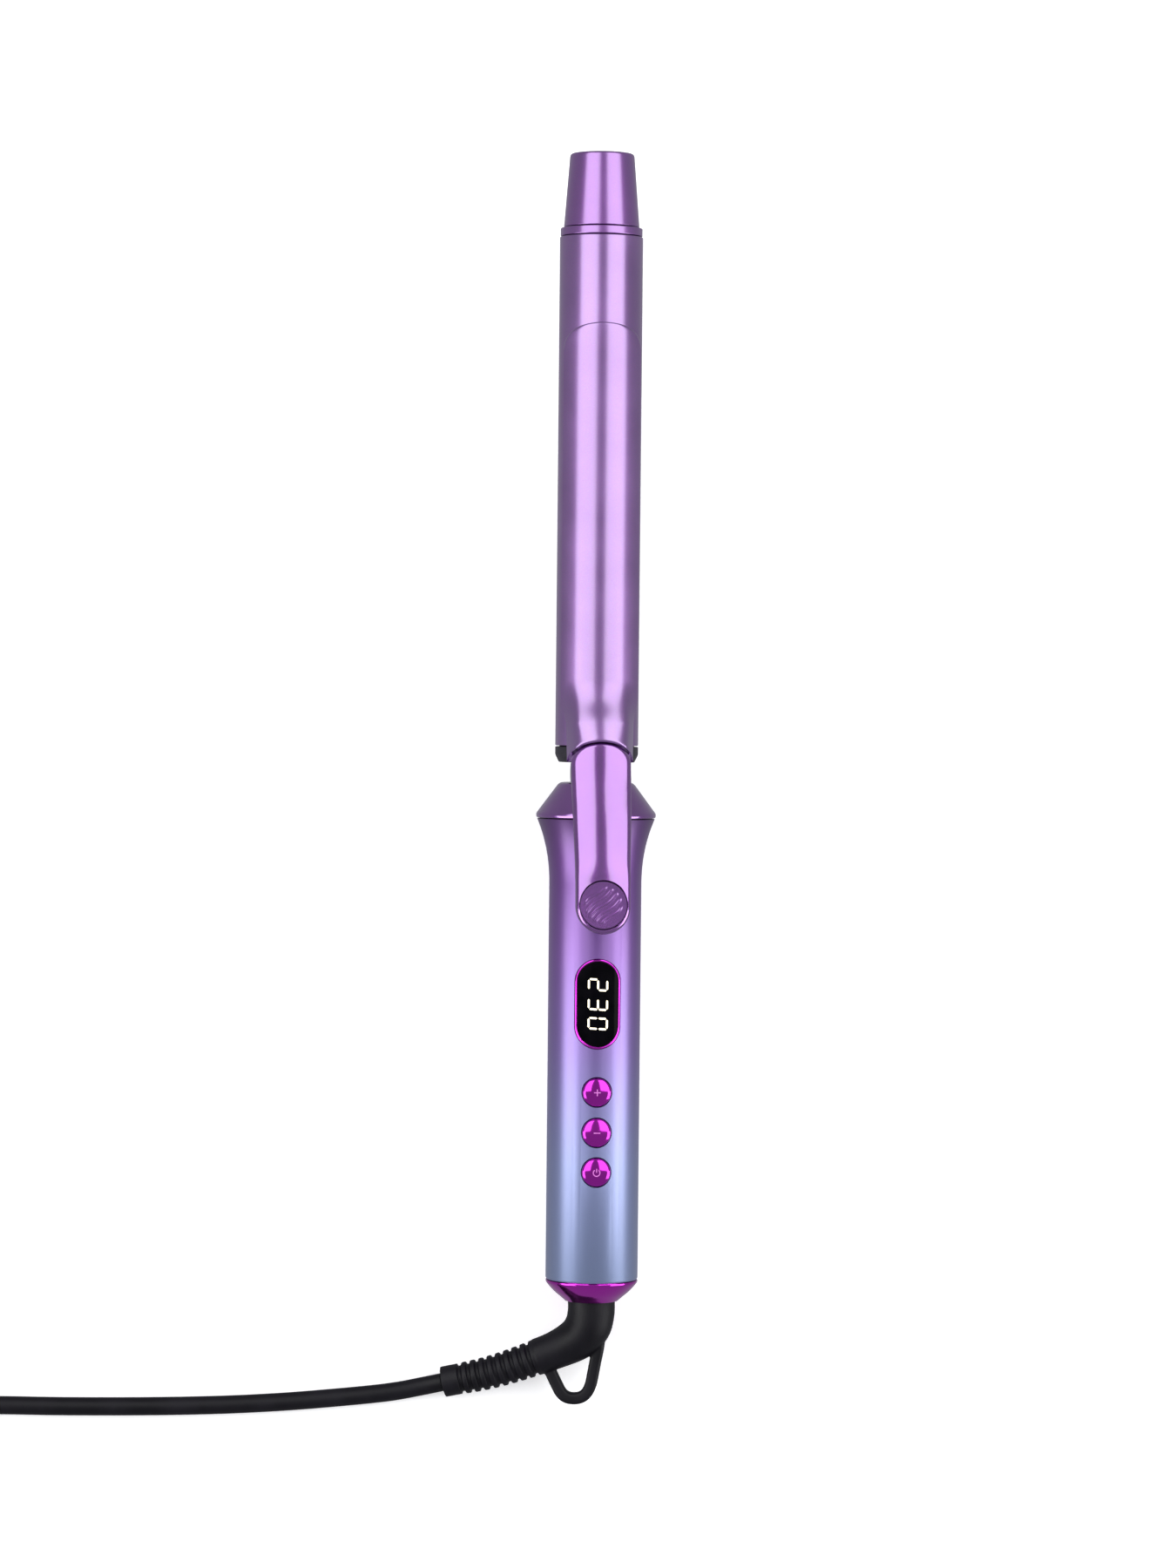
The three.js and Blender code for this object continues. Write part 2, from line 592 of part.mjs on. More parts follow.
function bootStations() {
  const station = (t, radius) => [BOOT_PATH.getPointAt(t), BOOT_PATH.getTangentAt(t), radius];
  const stations = [0, 0.08, 0.14, 0.2, 0.26, 0.32, 0.38, 0.44].map((t) => {
    return station(t, THREE.MathUtils.lerp(BOOT_R, 5.6, smoothStep(0.16, 0.46, t)));
  });
  const pitch = (RIBS.end - RIBS.start) / RIBS.count;
  for (let i = 0; i < RIBS.count; i += 1) {
    const t = RIBS.start + pitch * i;
    const crest = THREE.MathUtils.lerp(5.4, 4.8, i / (RIBS.count - 1));
    stations.push(station(t, crest), station(t + pitch * 0.5, crest));
    stations.push(station(t + pitch * 0.52, crest - RIBS.depth));
    stations.push(station(t + pitch * 0.98, crest - RIBS.depth));
  }
  stations.push(station(RIBS.end, 4.65), station(1, 4.65));
  return stations;
}

function loopOutline() {
  const shape = new THREE.Shape();
  shape.moveTo(3.2, -181);
  shape.lineTo(5.1, -183.3);
  shape.lineTo(2.1, -198.4);
  shape.bezierCurveTo(1.2, -202.6, -2, -204.1, -5, -204.1);
  shape.bezierCurveTo(-8.2, -204.1, -9.8, -202.4, -10.8, -200.6);
  shape.lineTo(-14.6, -193);
  shape.lineTo(-13, -190);
  return shape;
}

function loopEye() {
  const hole = new THREE.Shape();
  hole.moveTo(-0.6, -190.2);
  hole.bezierCurveTo(-0.2, -191.4, -0.5, -193, -1.5, -197.6);
  hole.bezierCurveTo(-2.3, -200.8, -4, -201, -5.3, -201);
  hole.bezierCurveTo(-7, -201, -7.6, -200.2, -8.2, -199);
  hole.lineTo(-9.9, -195.2);
  hole.bezierCurveTo(-10.3, -194, -9.6, -193.4, -8.6, -193);
  hole.lineTo(-2, -190.2);
  hole.lineTo(-1.2, -189.95);
  return hole;
}

function addSwivel() {
  const half = LOOP_THICK / 2;
  const loop = cut(prism(loopOutline(), -half, half, 5), prism(loopEye(), -half - 1, half + 1, 4));
  place('swivel_boot', 'blackRubber', join(swept(bootStations(), 12), loop), swivel);
  place('swivel_hub', 'greyPlastic', turned([
    [0, -168.5], [6.8, -168.5], [6.8, -166.5], [4.6, -166.5],
    [4.6, -156], [3.2, -156], [3.2, -143], [0, -143],
  ], 20), swivel);
  for (const [name, y] of [['slip_ring_live', -154.5], ['slip_ring_neutral', -150]]) {
    place(name, 'brass', sleeve(4.2, 3.25, y, y + 2, 20), swivel);
  }
  place('hub_retainer', 'steel', sleeve(4.2, 3.25, -145.4, -144.6, 16), swivel);
  swivel.rotation.y = -BOOT_DROOP;
  place('swivel_socket', 'greyPlastic', turned([
    [10, -166.2], [10, -157], [5, -157], [5, -166.2],
  ], 24));
  const brushes = [['brush_live', -154.5], ['brush_neutral', -150]];
  for (const [name, y] of brushes) {
    place(name, 'brass', box(-1, 1, y + 0.3, y + 1.7, 4.55, 5.05));
  }
  const mains = [
    ['mains_lead_live', 'redWire', -154.5, -2.4],
    ['mains_lead_neutral', 'blueWire', -150, 2.4],
  ];
  for (const [name, look, y, x] of mains) {
    const path = [[x, y + 1, 5.6], [x * 1.4, y + 3, 7.2], [x * 1.6, -146.5, 6.6], [x * 1.5, -142.4, 5.6]];
    place(name, look, wire(path, 0.7, 8, 6));
  }
}

// ---- Assembly ----
addBarrel();
addHeater();
addNeck();
addCollar();
addHandle();
addElectronics();
addDisplay();
addControls();
addClip();
addLever();
addSwivel();

// The iron rests on its collar and on the handle's rear edge, which tilts its nose up.
const restSpan = COLLAR_WIDEST - HANDLE_REAR;
iron.rotation.x = Math.atan((COLLAR_R - HANDLE_R) / restSpan);
object.updateMatrixWorld(true);
const ironBox = new THREE.Box3();
for (const mesh of iron.children) {
  if (mesh.isMesh) ironBox.expandByObject(mesh, true);
}
iron.position.set(0, -(ironBox.min.y + ironBox.max.y) / 2, -ironBox.min.z);
object.updateMatrixWorld(true);

// ---- Cord: along the surface to a flat round coil, and on to its plug ----
function addCord() {
  const face = BOOT_PATH.getPointAt(1).applyMatrix4(swivel.matrixWorld);
  const heading = BOOT_PATH.getTangentAt(1).transformDirection(swivel.matrixWorld);
  const start = face.clone().addScaledVector(heading, 0.5);
  const lead = face.clone().addScaledVector(heading, 7);
  const floor = CORD_R + COIL.foot;
  const near = COIL.y - COIL.outerR;
  place('power_cord', 'blackRubber', wire([
    start.toArray(), lead.toArray(), [-66, -202.2, 3.1], [-92, -204.4, floor], [-125, -205.6, floor],
    [-160, -205.6, floor], [-190, near - 0.3, floor], [-206, near - 0.2, floor],
  ], CORD_R, 30, 8), object);
  const ringOuter = COIL.outerR + CORD_R;
  const ringInner = COIL.innerR - CORD_R;
  const ringTop = COIL.foot + 4 * CORD_R;
  const ring = turned([
    [ringOuter, COIL.foot + 1], [ringOuter, ringTop - 1],
    [ringOuter - 1, ringTop], [ringInner + 1, ringTop],
    [ringInner, ringTop - 1], [ringInner, COIL.foot + 1],
    [ringInner + 1, COIL.foot], [ringOuter - 1, COIL.foot],
  ], 32);
  place('cord_coil', 'blackRubber', ring.rotateX(Math.PI / 2).translate(COIL.x, COIL.y, 0), object);
  const tailX = COIL.x - COIL.outerR;
  place('cord_tail', 'blackRubber', wire([
    [tailX - 0.3, COIL.y + 22, 3 * CORD_R + COIL.foot], [tailX + 0.8, COIL.y + 32, 7.2],
    [tailX + 4, COIL.y + 44, 5.4], [PLUG.x - 1.2, PLUG.y - 13, 6.2], [PLUG.x, PLUG.y - GAP, PLUG.z],
  ], CORD_R, 16, 8), object);
  const relief = turned([[0, 0], [3.6, 0], [4.4, 9], [5, 10], [5, 12], [0, 12]], 16);
  const outline = new THREE.Shape();
  outline.moveTo(-4.5, 10);
  outline.lineTo(4.5, 10);
  outline.lineTo(17.6, 24);
  outline.lineTo(17.6, 35);
  outline.lineTo(13, 38.5);
  outline.lineTo(-13, 38.5);
  outline.lineTo(-17.6, 35);
  outline.lineTo(-17.6, 24);
  const plug = join(prism(outline, -6.85, 6.85), relief);
  const bores = [-9.5, 9.5].map((x) => rod(2.2, 33, 39, 12).translate(x, 0, 0));
  place('plug_body', 'blackPlastic', cut(plug, ...bores).translate(PLUG.x, PLUG.y, PLUG.z), object);
  for (const [name, x] of [['plug_pin_left', -9.5], ['plug_pin_right', 9.5]]) {
    const pin = turned([[0, 33.5], [1.9, 33.5], [1.9, 56.5], [1.2, 57.5], [0, 57.5]], 12);
    place(name, 'steel', pin.translate(PLUG.x + x, PLUG.y, PLUG.z), object);
  }
}
addCord();

export default object;
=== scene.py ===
"""Curling iron: the looks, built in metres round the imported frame."""
import bmesh
import bpy
import json
import math
from mathutils import Matrix, Vector


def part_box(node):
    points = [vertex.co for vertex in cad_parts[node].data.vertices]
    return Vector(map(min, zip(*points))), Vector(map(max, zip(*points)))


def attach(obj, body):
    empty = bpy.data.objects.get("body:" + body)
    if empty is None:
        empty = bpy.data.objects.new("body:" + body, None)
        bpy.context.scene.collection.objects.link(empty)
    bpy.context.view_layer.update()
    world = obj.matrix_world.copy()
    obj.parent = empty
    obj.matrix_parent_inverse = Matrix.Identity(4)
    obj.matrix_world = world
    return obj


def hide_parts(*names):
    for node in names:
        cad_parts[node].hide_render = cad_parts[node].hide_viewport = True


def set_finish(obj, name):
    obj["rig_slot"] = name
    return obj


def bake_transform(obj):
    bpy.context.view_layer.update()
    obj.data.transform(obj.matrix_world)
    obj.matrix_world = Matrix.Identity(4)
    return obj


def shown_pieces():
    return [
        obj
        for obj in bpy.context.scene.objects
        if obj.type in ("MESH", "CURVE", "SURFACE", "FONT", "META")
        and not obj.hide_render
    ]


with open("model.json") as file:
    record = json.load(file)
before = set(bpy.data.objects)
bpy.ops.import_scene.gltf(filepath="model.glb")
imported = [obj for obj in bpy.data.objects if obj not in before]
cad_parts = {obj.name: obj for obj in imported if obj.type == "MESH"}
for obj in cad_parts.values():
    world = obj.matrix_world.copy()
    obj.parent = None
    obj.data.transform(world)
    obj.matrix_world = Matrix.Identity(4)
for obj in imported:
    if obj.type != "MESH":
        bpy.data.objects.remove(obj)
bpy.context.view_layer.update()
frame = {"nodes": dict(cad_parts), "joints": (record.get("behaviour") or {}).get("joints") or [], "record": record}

MM = 0.001
NODES = frame["nodes"]
SLOTS = {part["node"]: part["material_slot"] for part in frame["record"]["subparts"]}
JOINTS = {joint["name"]: joint for joint in frame["joints"]}


# ---- The iron's own frame: long axis +Y, front +Z, origin at mid-length ----
def iron_frame():
    swivel = JOINTS["cord_swivel"]
    axis = Vector(swivel["axis"]).normalized()
    swivel_at = 0.180  # the swivel point lies this far behind the middle
    origin = Vector(swivel["pos_m"]) + axis * swivel_at
    tilt = math.atan2(axis.z, axis.y)
    return Matrix.Translation(origin) @ Matrix.Rotation(tilt, 4, "X")


IRON = iron_frame()
FROM_IRON = IRON.inverted()


def span(node):
    """A CAD node's lowest and highest corner along the iron's own axes."""
    points = [FROM_IRON @ v.co for v in NODES[node].data.vertices]
    low = Vector(min(p[i] for p in points) for i in range(3))
    high = Vector(max(p[i] for p in points) for i in range(3))
    return low, high


# ---- Camera ----
def add_camera():
    distance = 1.44
    turn = math.radians(4.7)  # the camera looks a little from the left
    roll = math.radians(0.56)
    view_height = 0.4725  # metres seen over the picture's height
    data = bpy.data.cameras.new("camera")
    camera = bpy.data.objects.new("camera", data)
    bpy.context.scene.collection.objects.link(camera)
    along = 0.0144  # the camera stands this far towards the tip from mid-length
    aim = Vector((-0.0025, -0.0168, 0))
    at = IRON @ Vector((-distance * math.sin(turn), along, distance * math.cos(turn)))
    target = IRON @ aim
    forward = (target - at).normalized()
    up = IRON.to_3x3() @ Vector((-math.sin(roll), math.cos(roll), 0))
    right = forward.cross(up).normalized()
    up = right.cross(forward)
    basis = Matrix((right, up, -forward)).transposed().to_4x4()
    camera.matrix_world = Matrix.Translation(at) @ basis
    data.lens = data.sensor_width * (target - at).length / view_height
    bpy.context.scene.camera = camera


add_camera()


# ---- Mesh helpers ----
def mark_sharp(bm, sharp):
    """Smooths the faces and keeps the edges sharp that turn by more than the given degrees."""
    limit = math.radians(sharp)
    for face in bm.faces:
        face.smooth = True
    for edge in bm.edges:
        edge.smooth = edge.is_manifold and edge.calc_face_angle(0) < limit


def finish_mesh(name, bm, sharp=35):
    """Turns a bmesh into an object with smooth faces and sharp edges where it turns hard."""
    bmesh.ops.remove_doubles(bm, verts=bm.verts, dist=1e-7)
    bmesh.ops.recalc_face_normals(bm, faces=bm.faces)
    mark_sharp(bm, sharp)
    mesh = bpy.data.meshes.new(name)
    bm.to_mesh(mesh)
    bm.free()
    obj = bpy.data.objects.new(name, mesh)
    bpy.context.scene.collection.objects.link(obj)
    return obj


def grid_faces(bm, rows, closed=True):
    """Joins rows of vertices of equal length with quads; closed rows wrap round."""
    for first, second in zip(rows, rows[1:]):
        count = len(first)
        for i in range(count if closed else count - 1):
            j = (i + 1) % count
            corners = [first[i], first[j], second[j], second[i]]
            unique = list(dict.fromkeys(corners))
            if len(unique) > 2:
                bm.faces.new(unique)


def cap_ends(bm, rows):
    bm.faces.new(rows[0])
    bm.faces.new(rows[-1])


def fillet(points, radius, steps=5):
    """Rounds the corners of an open outline of (r, y) points; radius is one value or one per point."""
    most = 0.45  # the share of a side that one corner may take
    radii = radius if isinstance(radius, (list, tuple)) else [radius] * len(points)
    out = [Vector(points[0])]
    for i in range(1, len(points) - 1):
        before, here, after = Vector(points[i - 1]), Vector(points[i]), Vector(points[i + 1])
        reach = min(radii[i], (here - before).length * most, (after - here).length * most)
        if reach <= 0:
            out.append(here)
            continue
        start = here + (before - here).normalized() * reach
        end = here + (after - here).normalized() * reach
        for k in range(steps + 1):
            t = k / steps
            out.append(start * (1 - t) ** 2 + here * (2 * t * (1 - t)) + end * t ** 2)
    out.append(Vector(points[-1]))
    return out


def lathe_rows(bm, profile, sides):
    rows = []
    for r, y in profile:
        if r < 1e-6:
            hub = bm.verts.new((0, y, 0))
            rows.append([hub] * sides)
            continue
        ring = []
        for i in range(sides):
            a = 2 * math.pi * i / sides
            ring.append(bm.verts.new((r * math.sin(a), y, r * math.cos(a))))
        rows.append(ring)
    return rows


LATHE_SIDES = 160


def lathe(name, profile, node, closed=False):
    """A turned piece on the handle's body; closed outlines join their last point to their first."""
    bm = bmesh.new()
    rows = lathe_rows(bm, profile, LATHE_SIDES)
    grid_faces(bm, rows + ([rows[0]] if closed else []))
    settle(finish_mesh(name, bm), "handle", node)


def lathe_ring(name, outline, radius, node):
    """A hollow turned piece, from a closed outline whose corners are rounded."""
    lathe(name, fillet(outline + [outline[0]], radius)[:-1], node, closed=True)


def settle(obj, body, nodes=(), place=IRON):
    """Places a piece drawn in the iron's frame, rides it on its body, hides the CAD nodes it replaces and takes
    the first one's slot.
    """
    obj.data.transform(place)
    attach(obj, body)
    names = [nodes] if isinstance(nodes, str) else list(nodes)
    if names:
        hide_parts(*names)
        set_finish(obj, SLOTS[names[0]])
    return obj


def smooth_step(a, b, x):
    t = min(max((x - a) / (b - a), 0), 1)
    return t * t * (3 - 2 * t)


def mix(a, b, t):
    return a + (b - a) * t


def squarish(a, power):
    """Cosine and sine of an angle on a rounded square; power 1 gives a circle."""
    c, s = math.cos(a), math.sin(a)
    return math.copysign(abs(c) ** power, c), math.copysign(abs(s) ** power, s)


def spline(points, samples):
    """Points spaced evenly along a Catmull-Rom curve through the given points."""
    per_span = 40
    ends = [points[0] * 2 - points[1]] + list(points) + [points[-1] * 2 - points[-2]]
    dense = []
    for i in range(1, len(ends) - 2):
        p0, p1, p2, p3 = ends[i - 1:i + 3]
        for k in range(per_span):
            t = k / per_span
            dense.append(0.5 * (2 * p1 + (p2 - p0) * t + (2 * p0 - 5 * p1 + 4 * p2 - p3) * t * t
                                + (3 * p1 - p0 - 3 * p2 + p3) * t ** 3))
    dense.append(points[-1].copy())
    lengths = [0.0]
    for a, b in zip(dense, dense[1:]):
        lengths.append(lengths[-1] + (b - a).length)
    out = []
    j = 0
    for i in range(samples):
        want = lengths[-1] * i / (samples - 1)
        while j + 2 < len(dense) and lengths[j + 1] < want:
            j += 1
        gap = lengths[j + 1] - lengths[j]
        out.append(dense[j].lerp(dense[j + 1], (want - lengths[j]) / gap if gap else 0))
    return out


def tube_rows(bm, path, radii, sides):
    """Rings of vertices round a path, with frames carried along so that they don't twist."""
    rows = []
    normal = None
    for i, point in enumerate(path):
        ahead = path[min(i + 1, len(path) - 1)]
        behind = path[max(i - 1, 0)]
        heading = (ahead - behind).normalized()
        if normal is None:
            normal = heading.orthogonal().normalized()
        normal = (normal - heading * normal.dot(heading)).normalized()
        side = heading.cross(normal)
        ring = []
        for k in range(sides):
            a = 2 * math.pi * k / sides
            ring.append(bm.verts.new(point + (normal * math.cos(a) + side * math.sin(a)) * radii[i]))
        rows.append(ring)
    return rows


def capped_tube(bm, path, radii, sides):
    rows = tube_rows(bm, path, radii, sides)
    grid_faces(bm, rows)
    cap_ends(bm, rows)


def boolean(obj, cutter, operation="DIFFERENCE"):
    modifier = obj.modifiers.new("cut", "BOOLEAN")
    modifier.operation = operation
    modifier.solver = "EXACT"
    modifier.object = cutter
    apply_modifiers(obj)
    bpy.data.objects.remove(cutter)


def apply_modifiers(obj):
    depsgraph = bpy.context.evaluated_depsgraph_get()
    mesh = bpy.data.meshes.new_from_object(obj.evaluated_get(depsgraph))
    old = obj.data
    obj.modifiers.clear()
    obj.data = mesh
    mesh.name = obj.name
    bpy.data.meshes.remove(old)


def shade_by_angle(obj, sharp=35):
    bm = bmesh.new()
    bm.from_mesh(obj.data)
    mark_sharp(bm, sharp)
    bm.to_mesh(obj.data)
    bm.free()


# ---- Cord: out of the boot, along the floor, round the coil and on to the plug ----
CORD_R = 2.75 * MM
CORD_SIDES = 20
CORD_STEP = 1.6 * MM
COIL_AT = Vector((-0.232, -0.1616, 0))
COIL_INNER = 0.0232
COIL_OUTER = 0.0432
COIL_TURNS = 7.25
FLOOR_Z = 2.85 * MM
CORD_OUT = [
    (-44.5, -198.4, 4.62), (-50.7, -199.8, 3.41), (-58, -201.2, 3.15), (-66, -202.2, 3.1),
    (-79, -203.4, 2.95), (-92, -204.4, 2.85), (-108, -205.2, 2.85), (-125, -205.6, 2.85),
    (-142, -205.7, 2.85), (-160, -205.6, 2.85), (-175, -205.3, 2.85), (-190, -205.1, 2.85),
    (-206, -205.0, 2.85), (-219, -204.9, 2.85),
]
CORD_TAIL = [
    (-275.5, -139.6, 8.0), (-274.4, -129.6, 7.2), (-271.2, -117.6, 5.4), (-268.6, -110.5, 5.5),
    (-267.2, -105, 6.2), (-266, -92.3, 7),
]


def coil_points():
    """Two layers of turns: the lower one winds inward, the upper one back outward, clockwise."""
    per_turn = 24
    climb = 0.02  # share of the coil over which it climbs to the upper layer, on either side of halfway
    total = round(COIL_TURNS * per_turn)
    points = []
    for i in range(total + 1):
        turn = i / per_turn
        share = turn / COIL_TURNS
        inward = 2 * min(share, 1 - share)
        radius = mix(COIL_OUTER, COIL_INNER, inward)
        angle = -math.pi / 2 - 2 * math.pi * turn
        lift = smooth_step(0.5 - climb, 0.5 + climb, share)
        height = FLOOR_Z + 2 * CORD_R * lift
        points.append(COIL_AT + Vector((radius * math.cos(angle), radius * math.sin(angle), height)))
    return points


def add_cord():
    out = [Vector(p) * MM for p in CORD_OUT]
    tail = [Vector(p) * MM for p in CORD_TAIL]
    route = out + coil_points() + tail
    length = sum((b - a).length for a, b in zip(route, route[1:]))
    path = spline(route, int(length / CORD_STEP))
    bm = bmesh.new()
    capped_tube(bm, path, [CORD_R] * len(path), CORD_SIDES)
    obj = finish_mesh("mains_cord", bm, 60)
    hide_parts("power_cord", "cord_coil", "cord_tail")
    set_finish(obj, "black_rubber")
    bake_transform(obj)
    return obj, path


cord, cord_path = add_cord()


# ---- Barrel, cool tip and the rings at the barrel's ends ----
SEAT_R = 11.2 * MM  # the rings' inner ends, which sit inside the barrel
SEAM = 0.3 * MM
NECK_R = 6.7 * MM


def add_barrel():
    low, high = span("barrel_tube")
    r = high.x
    wall = 1.0 * MM
    outline = [(r - wall / 2, high.y), (r, high.y), (r, low.y), (r - wall, low.y), (r - wall, high.y)]
    lathe_ring("barrel", outline, 0.3 * MM, "barrel_tube")


def add_tip():
    low, high = span("tip_cap")
    foot_r = high.x
    end_r = 9.65 * MM
    wall = 1.7 * MM
    outline = [(0, high.y - 0.25 * MM), (end_r - 2.2 * MM, high.y), (end_r, high.y - 0.15 * MM),
               (foot_r, low.y), (foot_r - wall, low.y), (end_r - wall, high.y - wall), (0, high.y - wall)]
    rounding = [0, 1.5 * MM, 1.3 * MM, 0.35 * MM, 0.2 * MM, 0.5 * MM, 0]
    lathe("cool_tip", fillet(outline, rounding), "tip_cap")


def add_tip_ring():
    low, high = span("tip_insulator")
    ring_r = high.x
    bore = 6 * MM
    top = span("tip_cap")[0].y - SEAM
    foot = span("barrel_tube")[1].y + SEAM
    outline = [(bore, low.y), (SEAT_R, low.y), (SEAT_R, foot), (ring_r, foot), (ring_r, top),
               (9.35 * MM, top), (8.95 * MM, high.y), (bore, high.y)]
    lathe_ring("tip_ring", outline, 0.3 * MM, "tip_insulator")


def add_base_ring():
    low, high = span("barrel_base_ring")
    foot = low.y
    r = high.x
    top = span("barrel_tube")[0].y - SEAM
    outline = [(NECK_R, high.y), (SEAT_R, high.y), (SEAT_R, top), (r, top), (r, foot + 2.3 * MM),
               (r - 1.1 * MM, foot), (NECK_R, foot)]
    lathe_ring("base_ring", outline, 0.35 * MM, "barrel_base_ring")


# ---- Collar, handle and end cap ----
HANDLE_R = 13.9 * MM
HANDLE_WALL = 1.9 * MM
FLARE_LENGTH = 20 * MM
FLARE_POWER = 2.2
CUT_LOW = 4 * MM
CUT_HIGH = 20 * MM


def handle_radius(y, front, mouth):
    """The sleeve's radius: straight at the rear, flaring to its mouth at the front."""
    along = min(max((front - y) / FLARE_LENGTH, 0), 1)
    return HANDLE_R + (mouth - HANDLE_R) * (1 - along) ** FLARE_POWER


def add_collar():
    low, high = span("collar_cone")
    front = high.y
    rear = low.y
    r = high.x
    wall = 2.2 * MM
    widest = front - 8.9 * MM
    outline = [(NECK_R, front), (10.6 * MM, front), (11.5 * MM, front - 0.5 * MM), (r, widest - 0.5 * MM),
               (r - 0.15 * MM, rear), (r - wall, rear), (r - wall, widest), (10.5 * MM, front - 2.4 * MM),
               (NECK_R, front - 2 * MM)]
    rounding = [0, 0.8, 0.6, 0.7, 0.35, 0.3, 0.3, 0.3, 0.3, 0]
    lathe_ring("collar", outline, [corner * MM for corner in rounding], "collar_cone")


def slot_outline(width, length, y, steps=24):
    """A slot with round ends as points round its edge, its length along Y."""
    r, half = width / 2, length / 2 - width / 2
    points = []
    for centre, start in ((y + half, 0), (y - half, math.pi)):
        for k in range(steps + 1):
            a = start + math.pi * k / steps
            points.append((r * math.cos(a), centre + r * math.sin(a)))
    return points


def prism_object(outline, z0, z1):
    bm = bmesh.new()
    rows = [[bm.verts.new((x, y, z)) for x, y in outline] for z in (z0, z1)]
    grid_faces(bm, rows)
    cap_ends(bm, rows)
    return finish_mesh("cutter", bm)


def round_outline(r, y, steps=64):
    angles = [2 * math.pi * k / steps for k in range(steps)]
    return [(r * math.cos(a), y + r * math.sin(a)) for a in angles]


def handle_outline(low, high):
    """Down the flare and the outside, round the rear edge and back up the inside."""
    outer_steps = 28
    inner_steps = 6
    outline = []
    for i in range(outer_steps + 1):
        y = high.y - FLARE_LENGTH * i / outer_steps
        outline.append((handle_radius(y, high.y, high.x), y))
    outline += [(HANDLE_R, low.y + 0.5 * MM), (HANDLE_R - 0.3 * MM, low.y), (HANDLE_R - HANDLE_WALL, low.y)]
    for i in range(inner_steps + 1):
        y = high.y - FLARE_LENGTH * (1 - i / inner_steps)
        outline.append((handle_radius(y, high.y, high.x) - HANDLE_WALL, y))
    return outline


def cut_display_hole(sleeve):
    low, high = span("display_bezel")
    gap = 0.12 * MM
    outline = slot_outline(high.x * 2 + 2 * gap, high.y - low.y + 2 * gap, (high.y + low.y) / 2)
    boolean(sleeve, prism_object(outline, CUT_LOW, CUT_HIGH))


def cut_button_hole(sleeve, name):
    low, high = span(name)
    gap = 0.25 * MM
    outline = round_outline(high.x + gap, (low.y + high.y) / 2)
    boolean(sleeve, prism_object(outline, CUT_LOW, CUT_HIGH))


def add_handle():
    bm = bmesh.new()
    rows = lathe_rows(bm, handle_outline(*span("handle_sleeve")), LATHE_SIDES)
    grid_faces(bm, rows + [rows[0]])
    sleeve = finish_mesh("handle_shell", bm)
    cut_display_hole(sleeve)
    for name in BUTTONS:
        cut_button_hole(sleeve, name)
    shade_by_angle(sleeve)
    settle(sleeve, "handle", "handle_sleeve")


def add_end_cap():
    low, high = span("end_cap")
    r = high.x
    top = span("handle_sleeve")[0].y - 0.25 * MM
    opening = 7.5 * MM
    inner_r = 10.3 * MM
    lip_r = 11.7 * MM
    arc = [(r, top), (r, top - 0.6 * MM), (12.75 * MM, -168.35 * MM), (11.1 * MM, -170.05 * MM),
           (9.2 * MM, -171.65 * MM), (opening + 0.5 * MM, low.y)]
    dome = [(p.x, p.y) for p in spline([Vector((x, y, 0)) for x, y in arc], 24)]
    outline = dome + [(opening, low.y + 0.25 * MM), (opening, -170.6 * MM), (inner_r, -167.6 * MM),
                      (inner_r, high.y), (lip_r, high.y), (lip_r, top)]
    lathe("end_dome", outline, "end_cap", closed=True)


# ---- Buttons and their signs ----
BUTTONS = ("button_plus", "button_minus", "button_power")
BUTTON_EDGE = 13.55 * MM  # the rim that a button's dome rises from
DOME_SPREAD = 0.92
DOME_FALL = 0.9
SIGN_ARM = 1.0 * MM
SIGN_WIDTH = 0.28 * MM


def button_body(name):
    return JOINTS[name.replace("button_", "") + "_press"]["child"]


def add_button(name):
    low, high = span(name)
    r = high.x
    y = (low.y + high.y) / 2
    shoulder = 11 * MM
    stem = 1.5 * MM
    dome = high.z - BUTTON_EDGE
    outline = [(0, high.z)]
    steps = 16
    for i in range(1, steps + 1):
        a = math.pi / 2 * i / steps
        outline.append((r * math.sin(a) ** DOME_SPREAD, BUTTON_EDGE + dome * math.cos(a) ** DOME_FALL))
    outline += [(r, shoulder), (stem, shoulder), (stem, low.z), (0, low.z)]
    bm = bmesh.new()
    grid_faces(bm, lathe_rows(bm, outline, 72))
    obj = finish_mesh(name + "_cap", bm, 50)
    obj.data.transform(Matrix.Translation((0, y, 0)) @ Matrix.Rotation(math.pi / 2, 4, "X"))
    settle(obj, button_body(name), name)
    return Vector((0, y, high.z)), r


def dome_height(at, r, x, y):
    """Height of a button's dome, along the iron's front, at a place beside its middle."""
    d = min(math.hypot(x, y) / r, 0.999)
    a = math.asin(d ** (1 / DOME_SPREAD))
    return BUTTON_EDGE + (at.z - BUTTON_EDGE) * math.cos(a) ** DOME_FALL


def ribbon_on_dome(bm, at, r, points):
    """A thin raised line that follows a button's dome through flat points."""
    lift = 0.05 * MM
    sink = 0.08 * MM
    rows = []
    for i, (x, y) in enumerate(points):
        ahead = points[min(i + 1, len(points) - 1)]
        behind = points[max(i - 1, 0)]
        heading = Vector((ahead[0] - behind[0], ahead[1] - behind[1], 0)).normalized()
        side = Vector((-heading.y, heading.x, 0)) * SIGN_WIDTH / 2
        ring = []
        for sign, rise in ((-1, -sink), (-1, lift), (1, lift), (1, -sink)):
            px, py = x + side.x * sign, y + side.y * sign
            ring.append(bm.verts.new((px, at.y + py, dome_height(at, r, px, py) + rise)))
        rows.append(ring)
    grid_faces(bm, rows)
    cap_ends(bm, rows)


def line_points(a, b, steps=8):
    return [(mix(a[0], b[0], i / steps), mix(a[1], b[1], i / steps)) for i in range(steps + 1)]


